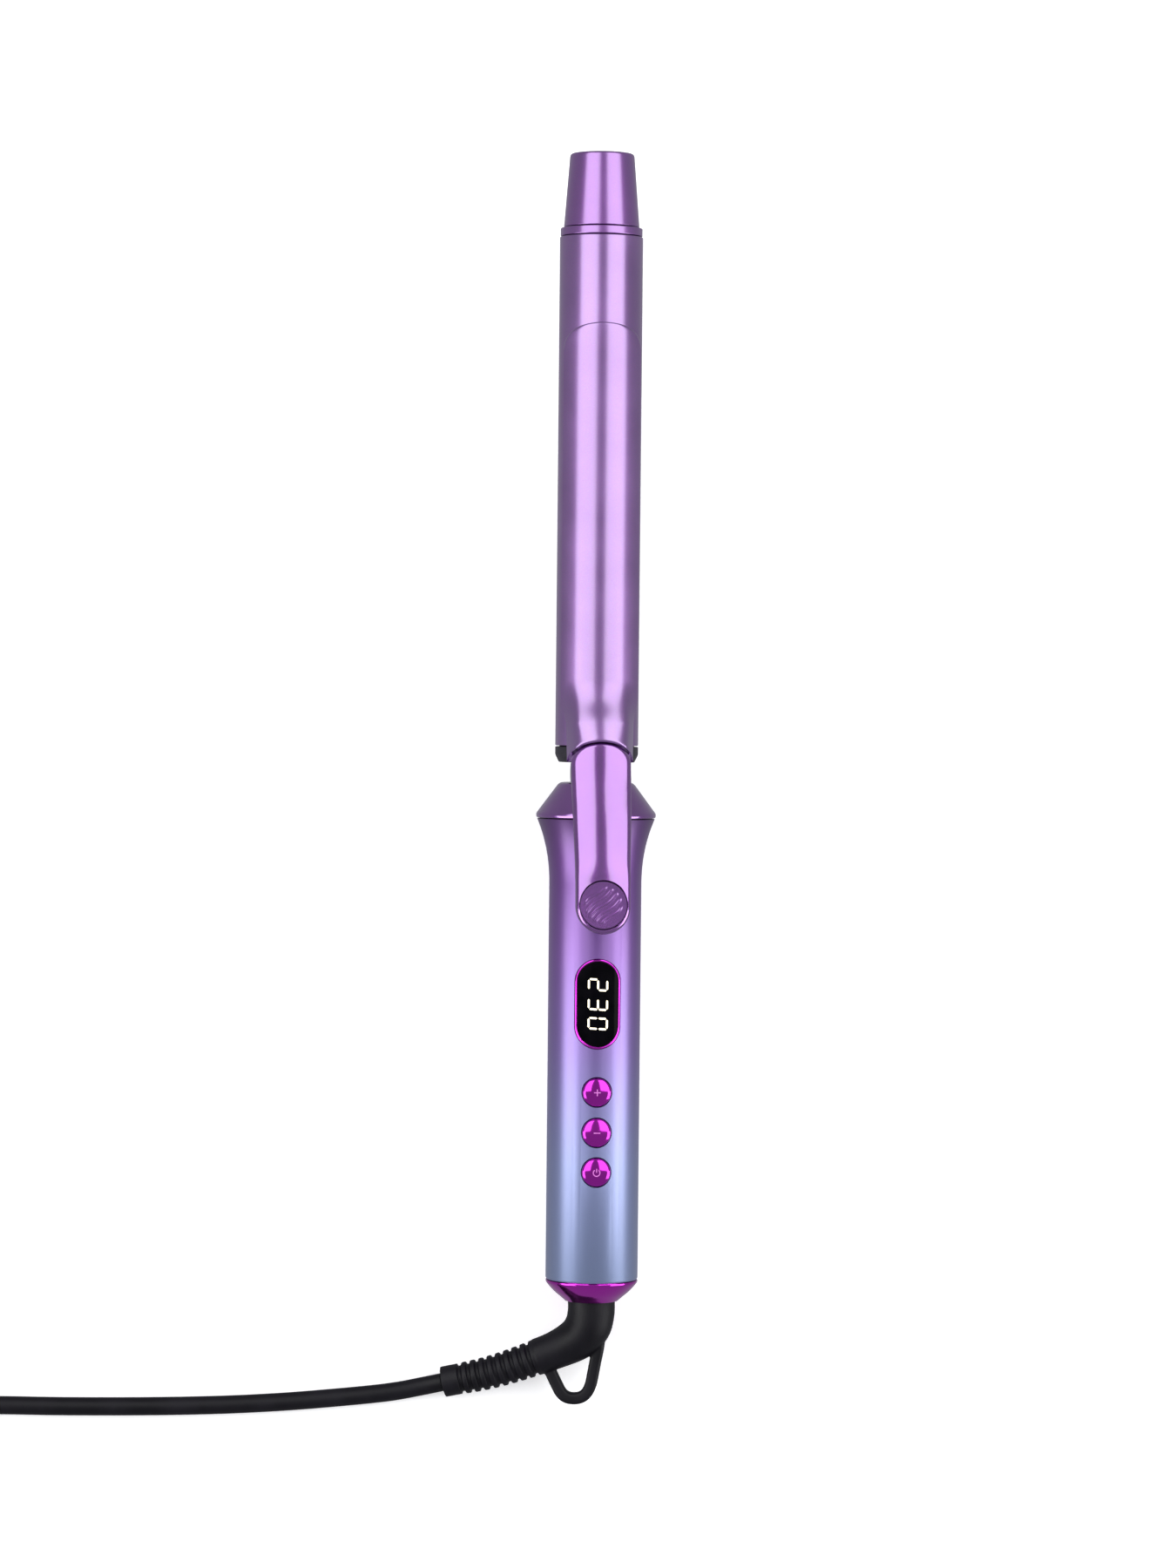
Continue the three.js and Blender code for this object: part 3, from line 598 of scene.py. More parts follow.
def power_arc(steps=28):
    gap = math.radians(35)
    angles = [gap + (2 * math.pi - 2 * gap) * i / steps for i in range(steps + 1)]
    return [(SIGN_ARM * math.sin(a), SIGN_ARM * math.cos(a)) for a in angles]


def add_icon(name, at, r):
    """Plus, minus and power signs; they read with the handle's rear towards the user."""
    across = line_points((-SIGN_ARM, 0), (SIGN_ARM, 0))
    upright = line_points((0, -SIGN_ARM), (0, SIGN_ARM))
    lines = {
        "button_power": [power_arc(), line_points((0, 0.1 * MM), (0, 1.25 * MM))],
        "button_minus": [across],
        "button_plus": [across, upright],
    }
    bm = bmesh.new()
    for line in lines[name]:
        ribbon_on_dome(bm, at, r, line)
    obj = finish_mesh(name + "_sign", bm)
    settle(obj, button_body(name))
    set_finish(obj, "magenta_chrome")


# ---- Display: bright surround, dark window and three lit digits ----
def on_cylinder(radius, x):
    return math.sqrt(radius * radius - x * x)


WINDOW_R = 14.0 * MM
BEZEL_R = 14.25 * MM
BEZEL_RIM = 0.75 * MM
BEZEL_SECTION = [(0, -1.6), (0, -0.25), (0.1, -0.08), (0.36, 0.0), (0.62, -0.08), (0.72, -0.25), (0.72, -1.6)]


def add_surround(y, width, length):
    """The display's bright rim, bent round the handle."""
    bm = bmesh.new()
    rings = []
    for inset, rise in BEZEL_SECTION:
        outline = slot_outline(width - 2 * inset * MM, length - 2 * inset * MM, y)
        rings.append([bm.verts.new((px, py, on_cylinder(BEZEL_R, px) + rise * MM)) for px, py in outline])
    grid_faces(bm, rings + [rings[0]])
    settle(finish_mesh("display_surround", bm, 50), "handle", "display_bezel")


def add_window(y, width, length):
    """The dark window inside the rim, with fine columns so that its curve stays smooth."""
    steps = 48
    across = 32
    under_z = 12.2 * MM
    half = length / 2
    r = width / 2
    bm = bmesh.new()
    rows = []
    for i in range(steps + 1):
        along = -half + length * (0.5 - 0.5 * math.cos(math.pi * i / steps))
        beyond = max(abs(along) - (half - r), 0)
        w = math.sqrt(max(r * r - beyond * beyond, 1e-12))
        columns = [w * (-1 + 2 * k / across) for k in range(across + 1)]
        over = [bm.verts.new((x, y + along, on_cylinder(WINDOW_R, x))) for x in columns]
        under = [bm.verts.new((x, y + along, under_z)) for x in reversed(columns)]
        rows.append(over + under)
    grid_faces(bm, rows)
    cap_ends(bm, rows)
    settle(finish_mesh("display_window", bm, 40), "handle", "display_lens")


def add_display():
    low, high = span("display_bezel")
    y = (low.y + high.y) / 2
    length = high.y - low.y
    width = high.x - low.x
    overlap = 0.1 * MM  # the window runs this far under the rim
    add_surround(y, width, length)
    add_window(y, width - 2 * BEZEL_RIM + overlap, length - 2 * BEZEL_RIM + overlap)
    add_digits(y)


SEGMENTS = {"2": "abged", "3": "abgcd", "0": "abcdef"}


def segment_shape(which, width, height, thick):
    """The corners of one bar of a seven-segment digit, centred on the origin, pointed at both ends."""
    w, h = width / 2, height / 2
    gap = thick * 0.3
    lines = {
        "a": ((-w, h), (w, h)), "g": ((-w, 0), (w, 0)), "d": ((-w, -h), (w, -h)),
        "f": ((-w, 0), (-w, h)), "b": ((w, 0), (w, h)), "e": ((-w, -h), (-w, 0)), "c": ((w, -h), (w, 0)),
    }
    start, end = (Vector(p) for p in lines[which])
    along = (end - start).normalized()
    side = Vector((-along.y, along.x)) * thick / 2
    tip = along * thick / 2
    start, end = start + along * gap, end - along * gap
    return [start, start + tip + side, end - tip + side, end, end - tip - side, start + tip - side]


def add_digits(y):
    """The digits read from the tip end towards the cord, their tops towards +X."""
    pitch = 5.8 * MM
    width = 3.15 * MM
    height = 5.5 * MM
    thick = 0.6 * MM
    slant = 0.06
    proud = 0.09 * MM
    depth = 0.15 * MM
    bm = bmesh.new()
    for i, digit in enumerate("230"):
        centre = y + pitch * (1 - i)
        for which in SEGMENTS[digit]:
            verts = []
            for p in segment_shape(which, width, height, thick):
                x, along = p.y, centre - (p.x + p.y * slant)
                verts.append(bm.verts.new((x, along, on_cylinder(WINDOW_R, x) + proud)))
            bm.faces.new(verts)
    extruded = bmesh.ops.extrude_face_region(bm, geom=list(bm.faces))
    moved = [v for v in extruded["geom"] if isinstance(v, bmesh.types.BMVert)]
    bmesh.ops.translate(bm, verts=moved, vec=(0, 0, -depth))
    obj = settle(finish_mesh("lit_digits", bm), "handle")
    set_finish(obj, "window_glass")


# ---- Clip plate ----
CLIP_R = 13.8 * MM
CLIP_ANGLE = math.radians(57)
CLIP_ARCH = 7.7 * MM
CLIP_THICK = 1.0 * MM
CLIP_RIM_HALF = 9.9 * MM
CLIP_INNER_HALF = 6.6 * MM
CLIP_SWELL = 6.4 * MM
CLIP_TIP = [(0, 0.55), (0.12, 0.25), (0.4, 0.06), (0.9, 0), (2.5, 0)]
CLIP_RIM = [(1.7, 0.12), (1.25, 0.3), (0.8, 0.42), (0.4, 0.38), (0.12, 0.15), (0.02, -0.5), (-0.05, -2.4),
            (-0.3, -3.3), (-2, -3.4), (-4, -3.4)]
LEVER_HALF = 8.9 * MM
LEVER_END_HALF = 8.05 * MM
LEVER_FRONT = -4.2 * MM
LEVER_SHOULDER = -10.2 * MM


def arch_drop(x):
    s = min(abs(x) / LEVER_HALF, 1)
    return (LEVER_FRONT - LEVER_SHOULDER) * (1 - math.sqrt(1 - s * s))


def clip_half(y):
    full = CLIP_R * math.sin(CLIP_ANGLE)
    return mix(full, CLIP_RIM_HALF, smooth_step(-1 * MM, 10 * MM, 9 * MM - y))


def clip_height(x, y):
    rise = 1 - smooth_step(-3 * MM, 14 * MM, y)
    ridge = 1 - smooth_step(7 * MM, 12 * MM, abs(x))
    return math.sqrt(CLIP_R ** 2 - x * x) + CLIP_SWELL * rise * ridge


def clip_rows(straight):
    """The plate's rows from its tip to its rear: the kind, the place along the plate and the lift."""
    rows = [("arch", back * MM, -drop * MM) for back, drop in CLIP_TIP]
    rows += [("line", straight - back * MM, 0) for back in (5, 9, 14, 22, 32, 45, 60, 75, 87, 93)]
    rows += [("line", (16 - 0.75 * k) * MM, 0) for k in range(20)]
    return rows + [("rim", offset * MM, lift * MM) for offset, lift in CLIP_RIM]


def clip_place(kind, place, s, straight):
    """Where a row crosses a column; s runs from -1 to 1 across the plate."""
    if kind == "arch":
        return CLIP_R * math.sin(s * CLIP_ANGLE), straight + CLIP_ARCH * math.sqrt(max(1 - s * s, 0)) - place
    if kind == "line":
        return clip_half(place) * math.sin(s * CLIP_ANGLE) / math.sin(CLIP_ANGLE), place
    inside = smooth_step(0, -0.3 * MM, place) if place < 0 else 0
    x = mix(CLIP_RIM_HALF, CLIP_INNER_HALF, inside) * s
    return x, LEVER_FRONT + 0.3 * MM + place - arch_drop(x if inside else x * 0.9)


def clip_section(bm, kind, place, lift, straight, columns):
    """One row of vertices: over the plate's top and back along its underside."""
    top, under = [], []
    for s in columns:
        x, y = clip_place(kind, place, s, straight)
        edge = smooth_step(0.93, 1.0, abs(s)) if kind == "rim" and place >= 0 else 0
        z = clip_height(x, y) + lift * (1 - edge)
        top.append(Vector((x, y, z)))
        lean = x / CLIP_R
        under.append(Vector((x - lean * CLIP_THICK, y, z - math.sqrt(1 - lean * lean) * CLIP_THICK)))
    return [bm.verts.new(p) for p in top + under[::-1]]


def add_clip():
    """The curved plate with its arched tip, and a ridge that swells into a rim round the lever's front."""
    straight = span("clip_plate")[1].y - CLIP_ARCH
    across = 48
    columns = [math.sin(math.pi / 2 * (2 * i / across - 1)) for i in range(across + 1)]
    bm = bmesh.new()
    sections = [clip_section(bm, *row, straight, columns) for row in clip_rows(straight)]
    grid_faces(bm, sections)
    cap_ends(bm, sections)
    settle(finish_mesh("clip_blade", bm, 50), "clip", "clip_plate")


# ---- Lever and thumb pad ----
LEVER_LINE = [(-2, 19.9), (-8, 20.5), (-14, 21.6), (-20, 24), (-26, 26.6), (-34, 29), (-43, 31), (-52, 32),
              (-62, 32.2)]
LEVER_END = -60.5 * MM
PAD_Y = -51.8 * MM
PAD_R = 6.9 * MM
PAD_SINK = -1.1 * MM
PAD_TILT = -0.07
PIN_AT = Vector((0, -13.2 * MM, 12 * MM))
LEVER_POINTS = spline([Vector((0, y, z)) * MM for y, z in LEVER_LINE], 200)


def lever_top(y):
    for a, b in zip(LEVER_POINTS, LEVER_POINTS[1:]):
        if b.y <= y <= a.y:
            return mix(a.z, b.z, (y - a.y) / (b.y - a.y))
    return LEVER_POINTS[0].z if y > LEVER_POINTS[0].y else LEVER_POINTS[-1].z


def lever_half(y, inset=0.0, end=LEVER_END):
    """Half of the lever's width at y: an arched front, sides that taper a little and a round end."""
    r = mix(LEVER_HALF, LEVER_END_HALF, smooth_step(14 * MM, 48 * MM, -y)) - inset
    if y > LEVER_SHOULDER - inset:
        reach = LEVER_FRONT - LEVER_SHOULDER
        return r * math.sqrt(max(1 - ((y - LEVER_SHOULDER + inset) / reach) ** 2, 0))
    centre = end + LEVER_END_HALF
    if y < centre:
        return math.sqrt(max(r * r - (centre - y) ** 2, 0))
    return r


def lever_skirt(y):
    return mix(5.6 * MM, 3.7 * MM, smooth_step(-12.5 * MM, -9.5 * MM, y))


def crown(x, y):
    """How far the lever's rounded top falls beside its middle; it is flatter round the pad."""
    bend = mix(33, 18, smooth_step(38 * MM, 45 * MM, -y))
    return bend * x * x


def edge_drop(share):
    """The rounding of the lever's rim, from the share of the way out to its outline."""
    d = share * LEVER_HALF / MM
    return (0.45 * max(0, d - 7.9) + 1.0 * max(0, d - 8.5)) * MM


def share_out(x, y, end=LEVER_END):
    """How far out a point lies in the lever's outline: 0 at the middle, 1 on the rim."""
    half = lever_half(min(max(y, end + LEVER_END_HALF), LEVER_SHOULDER))
    beyond = 0.0
    if y > LEVER_SHOULDER:
        beyond = (y - LEVER_SHOULDER) / (LEVER_FRONT - LEVER_SHOULDER)
    elif y < end + LEVER_END_HALF:
        beyond = (end + LEVER_END_HALF - y) / LEVER_END_HALF
    return min(math.hypot(x / half, beyond), 1)


def lever_surface(bm, inset, end, drop, rows=90, across=32):
    """A grid over the lever's outline that follows its rounded top."""
    front = LEVER_FRONT - inset
    back = end + inset
    grid = []
    for i in range(rows + 1):
        y = mix(front, back, 0.5 - 0.5 * math.cos(math.pi * i / rows))
        half = lever_half(y, inset, end)
        row = []
        for k in range(across + 1):
            x = half * math.sin(math.pi / 2 * (2 * k / across - 1))
            z = lever_top(y) - crown(x, y) - edge_drop(share_out(x, y, end)) - drop
            row.append(bm.verts.new((x, y, z)))
        grid.append(row)
    return grid


def border(grid):
    """The vertices round a grid's edge, in order."""
    return (grid[0][:] + [row[-1] for row in grid[1:-1]] + grid[-1][::-1] + [row[0] for row in grid[-2:0:-1]])


EAR_INNER = 6.9 * MM
EAR_OUTER = LEVER_HALF - 0.25 * MM


def ear_outline(steps=24):
    r = 3.0 * MM
    top = 17.4 * MM
    points = [(PIN_AT.y + r, top)]
    for i in range(steps + 1):
        a = -math.pi * i / steps
        points.append((PIN_AT.y + r * math.cos(a), PIN_AT.z + r * math.sin(a)))
    return points + [(PIN_AT.y - r, top)]


def lever_shell(bm):
    """The rounded top, the hollow under it and the skirts between, closed round their lower edge."""
    wall = 1.6 * MM
    top_thick = 2.2 * MM
    hollow_end = -45.1 * MM
    outer = lever_surface(bm, 0, LEVER_END, 0)
    grid_faces(bm, outer, closed=False)
    inner = lever_surface(bm, wall, hollow_end, top_thick, rows=60)
    grid_faces(bm, inner, closed=False)
    base = []
    for edge in (border(outer), border(inner)):
        skirt = [bm.verts.new((v.co.x, v.co.y, lever_top(v.co.y) - lever_skirt(v.co.y))) for v in edge]
        grid_faces(bm, [edge, skirt])
        base += [e for v in skirt for e in v.link_edges if all(w in skirt for w in e.verts)]
    bmesh.ops.triangle_fill(bm, use_beauty=True, edges=list(dict.fromkeys(base)))


def add_ears(bm):
    for x0, x1 in ((EAR_INNER, EAR_OUTER), (-EAR_OUTER, -EAR_INNER)):
        rows = [[bm.verts.new((x, y, z)) for y, z in ear_outline()] for x in (x0, x1)]
        grid_faces(bm, rows)
        cap_ends(bm, rows)


def pad_place(top):
    return Matrix.Translation((0, PAD_Y, top)) @ Matrix.Rotation(PAD_TILT, 4, "X")


def cut_pad_seat(obj, top):
    """The round recess for the pad, with a chamfered mouth."""
    hole = PAD_R + 0.15 * MM
    mouth = hole + 0.35 * MM
    floor = -2.6 * MM
    above = 4 * MM
    outline = [(0, floor), (hole, floor), (hole, -1.2 * MM), (mouth, -0.6 * MM), (mouth, above), (0, above)]
    bm = bmesh.new()
    grid_faces(bm, lathe_rows(bm, outline, 96))
    cutter = finish_mesh("cutter", bm)
    cutter.data.transform(pad_place(top) @ Matrix.Rotation(math.pi / 2, 4, "X"))
    boolean(obj, cutter)


def add_lever():
    bm = bmesh.new()
    lever_shell(bm)
    add_ears(bm)
    obj = finish_mesh("lever_shell", bm, 40)
    pad_top = lever_top(PAD_Y)
    cut_pad_seat(obj, pad_top)
    shade_by_angle(obj, 40)
    settle(obj, "clip", "lever")
    add_pad(pad_top)


def add_pad(top):
    """The sunk thumb pad, with slanting ridges cut to the disc and a shallow dish."""
    rings = 56
    sides = 128
    bm = bmesh.new()
    rows = []
    for i in range(1, rings + 1):
        r = PAD_R * i / rings
        row = []
        for k in range(sides):
            a = 2 * math.pi * k / sides
            x, y = r * math.cos(a), r * math.sin(a)
            row.append(bm.verts.new((x, y, PAD_SINK + pad_relief(x, y, r))))
        rows.append(row)
    edge = [bm.verts.new((v.co.x, v.co.y, -2.5 * MM)) for v in rows[-1]]
    grid_faces(bm, rows + [edge])
    hub = bm.verts.new((0, 0, PAD_SINK + pad_relief(0, 0, 0)))
    grid_faces(bm, [[hub] * sides, rows[0]])
    bm.faces.new(edge)
    settle(finish_mesh("thumb_rest", bm, 60), "clip", "thumb_pad", IRON @ pad_place(top))


def pad_relief(x, y, r):
    """Slanting wavy ridges that fade out towards the disc's rim."""
    slant = math.radians(38)
    along = (x * math.cos(slant) + y * math.sin(slant)) / MM
    over = (-x * math.sin(slant) + y * math.cos(slant)) / MM + 0.28 * math.sin(along * 0.8)
    pitch = 1.95
    wave = 0.5 + 0.5 * math.cos(2 * math.pi * over / pitch)
    fade = 1 - smooth_step(0.72, 0.84, r / PAD_R)
    ends = 1 - smooth_step(4.6, 5.4, abs(over))
    dish = -0.1 * (1 - (r / PAD_R) ** 2)
    return (0.1 * wave ** 3 * fade * ends + dish) * MM


# ---- Swivel boot ----
BOOT_DROOP = math.radians(10.6)


def swivel_frame():
    """The boot droops about the long axis until its end rests on the floor."""
    return IRON @ Matrix.Rotation(-BOOT_DROOP, 4, "Y")


BOOT_LINE = [(0, -168.9), (0, -172), (0, -176.5), (-1.2, -181), (-5.2, -185.2), (-15, -189.9), (-30, -195.2),
             (-44.8, -198.6)]


def bezier(a, b, c, d, steps=10):
    points = [Vector(p).to_3d() for p in (a, b, c, d)]
    out = []
    for i in range(1, steps + 1):
        t = i / steps
        weights = ((1 - t) ** 3, 3 * t * (1 - t) ** 2, 3 * t * t * (1 - t), t ** 3)
        out.append(sum((p * w for p, w in zip(points, weights)), Vector((0, 0, 0))))
    return [(p.x, p.y) for p in out]


def loop_line():
    """The middle line of the hang loop's bar, from the elbow round to the sleeve."""
    points = [(2.6, -181), (2.4, -186), (1.3, -192), (0.4, -197)]
    points += bezier((0.4, -197), (-0.6, -201.6), (-2.6, -202.6), (-5.2, -202.6))
    points += bezier((-5.2, -202.6), (-7.6, -202.6), (-8.8, -201.4), (-9.7, -199.6))
    points += [(-11.2, -196.6), (-12.8, -193.2), (-14, -190.4)]
    return [Vector((x, y, 0)) * MM for x, y in points]


def boot_radius(t):
    """The boot's radius along its line: a thick elbow, nine ribs and a collar at the end."""
    start, end, count = 0.5, 0.915, 9
    neck = mix(7.1, 5.6, smooth_step(0.16, 0.46, t))
    if t < start:
        return neck * MM
    if t > end + 0.004:
        return 4.65 * MM
    share = (t - start) / (end - start)
    crest = mix(5.45, 4.75, share)
    phase = (share * count) % 1.0
    groove = smooth_step(0.5, 0.56, phase) * (1 - smooth_step(0.94, 1.0, phase))
    return (crest - 0.85 * groove) * MM


def loop_bar():
    """The hang loop's bar: a rounded square section swept along its middle line."""
    half_wide = 1.8 * MM
    half_tall = 1.95 * MM
    sides = 28
    line = spline(loop_line(), 70)
    bm = bmesh.new()
    rows = []
    for i, point in enumerate(line):
        heading = (line[min(i + 1, len(line) - 1)] - line[max(i - 1, 0)]).normalized()
        side = Vector((-heading.y, heading.x, 0))
        ring = []
        for k in range(sides):
            c, s = squarish(2 * math.pi * k / sides, 0.55)
            ring.append(bm.verts.new(point + side * (half_wide * c) + Vector((0, 0, half_tall * s))))
        rows.append(ring)
    grid_faces(bm, rows)
    cap_ends(bm, rows)
    return finish_mesh("loop_bar", bm)


BOOT_WEB = [(2.4, -181), (1.2, -189), (-0.4, -189.6), (-9.6, -193.6), (-13, -192), (-10, -187)]


def melt_together(obj):
    """Remeshes joined solids into one skin and eases the seams."""
    remesh = obj.modifiers.new("skin", "REMESH")
    remesh.mode = "VOXEL"
    remesh.voxel_size = 0.2 * MM
    remesh.use_smooth_shade = True
    smooth = obj.modifiers.new("ease", "SMOOTH")
    smooth.factor = 0.5
    smooth.iterations = 3
    apply_modifiers(obj)
    for polygon in obj.data.polygons:
        polygon.use_smooth = True


def add_boot():
    samples = 300
    web_half = 1.9 * MM
    path = spline([Vector((x, y, 0)) * MM for x, y in BOOT_LINE], samples)
    radii = [boot_radius(i / (samples - 1)) for i in range(samples)]
    bm = bmesh.new()
    capped_tube(bm, path, radii, 48)
    boot = finish_mesh("cord_boot", bm)
    boolean(boot, loop_bar(), "UNION")
    web = [(x * MM, y * MM) for x, y in BOOT_WEB]
    boolean(boot, prism_object(web, -web_half, web_half), "UNION")
    melt_together(boot)
    settle(boot, "swivel", "swivel_boot", swivel_frame())
    return boot


# ---- Plug ----
PLUG_STATIONS = [
    (0, 3.55, 3.55), (0.5, 3.65, 3.65), (9, 4.6, 4.6), (12, 6.5, 5.6), (17, 11.5, 6.4), (22.5, 16.4, 6.8),
    (25, 17.5, 6.85), (34.5, 17.5, 6.85), (37, 16.6, 6.7), (38.2, 15.2, 6.3), (38.5, 14.2, 5.9),
]


def add_plug_shell():
    """The moulded body: round at the cord, widening to a flat rounded block at the pins."""
    low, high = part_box("plug_body")
    at = Vector(((low.x + high.x) / 2, low.y, (low.z + high.z) / 2))
    half_width = (high.x - low.x) / 2
    half_thick = (high.z - low.z) / 2
    sides = 64
    bm = bmesh.new()
    rows = []
    for y, w, h in PLUG_STATIONS:
        power = mix(1.0, 0.42, smooth_step(8, 20, y))
        ring = []
        for k in range(sides):
            c, s = squarish(2 * math.pi * k / sides, power)
            ring.append(bm.verts.new((min(w * MM, half_width) * c, y * MM, min(h * MM, half_thick) * s)))
        rows.append(ring)
    grid_faces(bm, rows)
    cap_ends(bm, rows)
    return settle(finish_mesh("plug_shell", bm, 40), "handle", "plug_body", Matrix.Translation(at))


def add_pin(name):
    """A metal pin with a rounded end, and the insulating sleeve round its root."""
    low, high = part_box(name)
    place = Matrix.Translation(((low.x + high.x) / 2, 0, (low.z + high.z) / 2))
    r = (high.x - low.x) / 2
    outline = [(0, high.y), (r * 0.45, high.y - 0.1 * MM), (r * 0.85, high.y - 0.8 * MM),
               (r, high.y - 2 * MM), (r, low.y), (0, low.y)]
    bm = bmesh.new()
    grid_faces(bm, lathe_rows(bm, outline, 48))
    pin = settle(finish_mesh(name + "_rod", bm), "handle", name, place)
    sleeve_end = high.y - 9 * MM
    sleeve_root = low.y + 4 * MM
    sleeve_r = r + 0.1 * MM
    outline = [(r * 1.005, sleeve_end), (sleeve_r, sleeve_end - 0.3 * MM), (sleeve_r, sleeve_root),
               (r * 1.005, sleeve_root)]
    bm = bmesh.new()
    grid_faces(bm, lathe_rows(bm, outline + [outline[0]], 48))
    sleeve = settle(finish_mesh(name + "_sleeve", bm), "handle", (), place)
    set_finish(sleeve, "black_plastic")
    return [pin, sleeve]


def add_plug():
    return [add_plug_shell()] + add_pin("plug_pin_left") + add_pin("plug_pin_right")


add_barrel()
add_tip()
add_tip_ring()
add_base_ring()
add_collar()
add_handle()
add_end_cap()
for button in BUTTONS:
    button_top, button_r = add_button(button)
    add_icon(button, button_top, button_r)
add_display()
add_clip()
add_lever()
boot = add_boot()
plug_pieces = add_plug()


# ---- Materials: colours are given as the eye sees them (sRGB, 0 to 255) ----
def linear(colour):
    def channel(c):
        c /= 255
        return c / 12.92 if c <= 0.04045 else ((c + 0.055) / 1.055) ** 2.4
    return (*(channel(c) for c in colour), 1.0)


def new_material(name):
    material = bpy.data.materials.new(name)
    material.use_nodes = True
    tree = material.node_tree
    return material, tree, tree.nodes["Principled BSDF"]


def add_noise(tree, scale, detail=3.0, stretch=(1, 1, 1)):
    """Noise in metres on the piece itself; stretch squeezes it along an axis, for grain and brushing."""
    coordinates = tree.nodes.new("ShaderNodeTexCoord")
    mapping = tree.nodes.new("ShaderNodeMapping")
    mapping.inputs["Scale"].default_value = stretch
    noise = tree.nodes.new("ShaderNodeTexNoise")
    noise.inputs["Scale"].default_value = scale
    noise.inputs["Detail"].default_value = detail
    tree.links.new(coordinates.outputs["Object"], mapping.inputs["Vector"])
    tree.links.new(mapping.outputs["Vector"], noise.inputs["Vector"])
    return noise


def spread(tree, source, low, high, start=0.3, end=0.7):
    """Maps a value between two limits."""
    node = tree.nodes.new("ShaderNodeMapRange")
    values = {"From Min": start, "From Max": end, "To Min": low, "To Max": high}
    for name, value in values.items():
        node.inputs[name].default_value = value
    tree.links.new(source, node.inputs["Value"])
    return node.outputs["Result"]


def ramp(tree, source, stops):
    node = tree.nodes.new("ShaderNodeValToRGB")
    elements = node.color_ramp.elements
    while len(elements) < len(stops):
        elements.new(0.5)
    for element, (position, colour) in zip(elements, stops):
        element.position = position
        element.color = linear(colour)
    tree.links.new(source, node.inputs["Fac"])
    return node.outputs["Color"]


def add_bump(tree, shader, source, distance, strength=1.0):
    bump = tree.nodes.new("ShaderNodeBump")
    bump.inputs["Distance"].default_value = distance
    bump.inputs["Strength"].default_value = strength
    tree.links.new(source, bump.inputs["Height"])
    tree.links.new(bump.outputs["Normal"], shader.inputs["Normal"])


def surface(name, dark, light, metallic, roughness, grain, bump=0.0, stretch=(1, 1, 1), coat=0.0):
    """A finish whose colour, roughness and height vary a little with one noise of the given scale."""
    material, tree, shader = new_material(name)
    noise = add_noise(tree, grain, stretch=stretch)
    colour = ramp(tree, noise.outputs["Fac"], [(0.35, dark), (0.65, light)])
    tree.links.new(colour, shader.inputs["Base Color"])
    tree.links.new(spread(tree, noise.outputs["Fac"], *roughness), shader.inputs["Roughness"])
    shader.inputs["Metallic"].default_value = metallic
    shader.inputs["Coat Weight"].default_value = coat
    shader.inputs["Coat Roughness"].default_value = 0.06
    if bump:
        add_bump(tree, shader, noise.outputs["Fac"], bump)
    return material


FLAKES_PER_METRE = 9000
SPARKLE = 0.12


def pearl(name, dark, light, roughness=0.3, coat_roughness=0.2):
    """Metallic lacquer: fine flakes that catch the light, over a slow change of tone."""
    material, tree, shader = new_material(name)
    flakes = tree.nodes.new("ShaderNodeTexVoronoi")
    flakes.inputs["Scale"].default_value = FLAKES_PER_METRE
    coordinates = tree.nodes.new("ShaderNodeTexCoord")
    tree.links.new(coordinates.outputs["Object"], flakes.inputs["Vector"])
    slow = add_noise(tree, 60)
    tone = ramp(tree, slow.outputs["Fac"], [(0.3, dark), (0.7, light)])
    sparkle = tree.nodes.new("ShaderNodeMix")
    sparkle.data_type = "RGBA"
    sparkle.blend_type = "SOFT_LIGHT"
    sparkle.inputs["Factor"].default_value = SPARKLE
    tree.links.new(tone, sparkle.inputs["A"])
    tree.links.new(flakes.outputs["Color"], sparkle.inputs["B"])
    tree.links.new(sparkle.outputs["Result"], shader.inputs["Base Color"])
    polish = spread(tree, slow.outputs["Fac"], roughness - 0.02, roughness + 0.02)
    tree.links.new(polish, shader.inputs["Roughness"])
    add_bump(tree, shader, flakes.outputs["Distance"], 0.000002)
    shader.inputs["Metallic"].default_value = 0.9
    shader.inputs["Coat Weight"].default_value = 1.0
    shader.inputs["Coat Roughness"].default_value = coat_roughness
    shader.inputs["Coat IOR"].default_value = 2.1
    return material


def handle_fade():
    """Satin lacquer that fades along the handle from deep purple to a pale blue."""
    material, tree, shader = new_material("handle_fade")
    coordinates = tree.nodes.new("ShaderNodeTexCoord")
    split = tree.nodes.new("ShaderNodeSeparateXYZ")
    tree.links.new(coordinates.outputs["Object"], split.inputs["Vector"])
    low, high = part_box("handle_sleeve")
    along = spread(tree, split.outputs["Y"], 1, 0, low.y, high.y)
    stops = [(0.0, (92, 48, 118)), (0.1, (112, 60, 145)), (0.3, (126, 84, 164)), (0.5, (130, 106, 176)),
             (0.75, (134, 144, 190)), (1.0, (136, 152, 192))]
    tree.links.new(ramp(tree, along, stops), shader.inputs["Base Color"])
    grain = add_noise(tree, 2500)
    tree.links.new(spread(tree, grain.outputs["Fac"], 0.36, 0.42), shader.inputs["Roughness"])
    add_bump(tree, shader, grain.outputs["Fac"], 0.000004)
    shader.inputs["Metallic"].default_value = 0.85
    shader.inputs["Coat Weight"].default_value = 0.7
    shader.inputs["Coat Roughness"].default_value = 0.3
    shader.inputs["Coat IOR"].default_value = 1.8
    return material


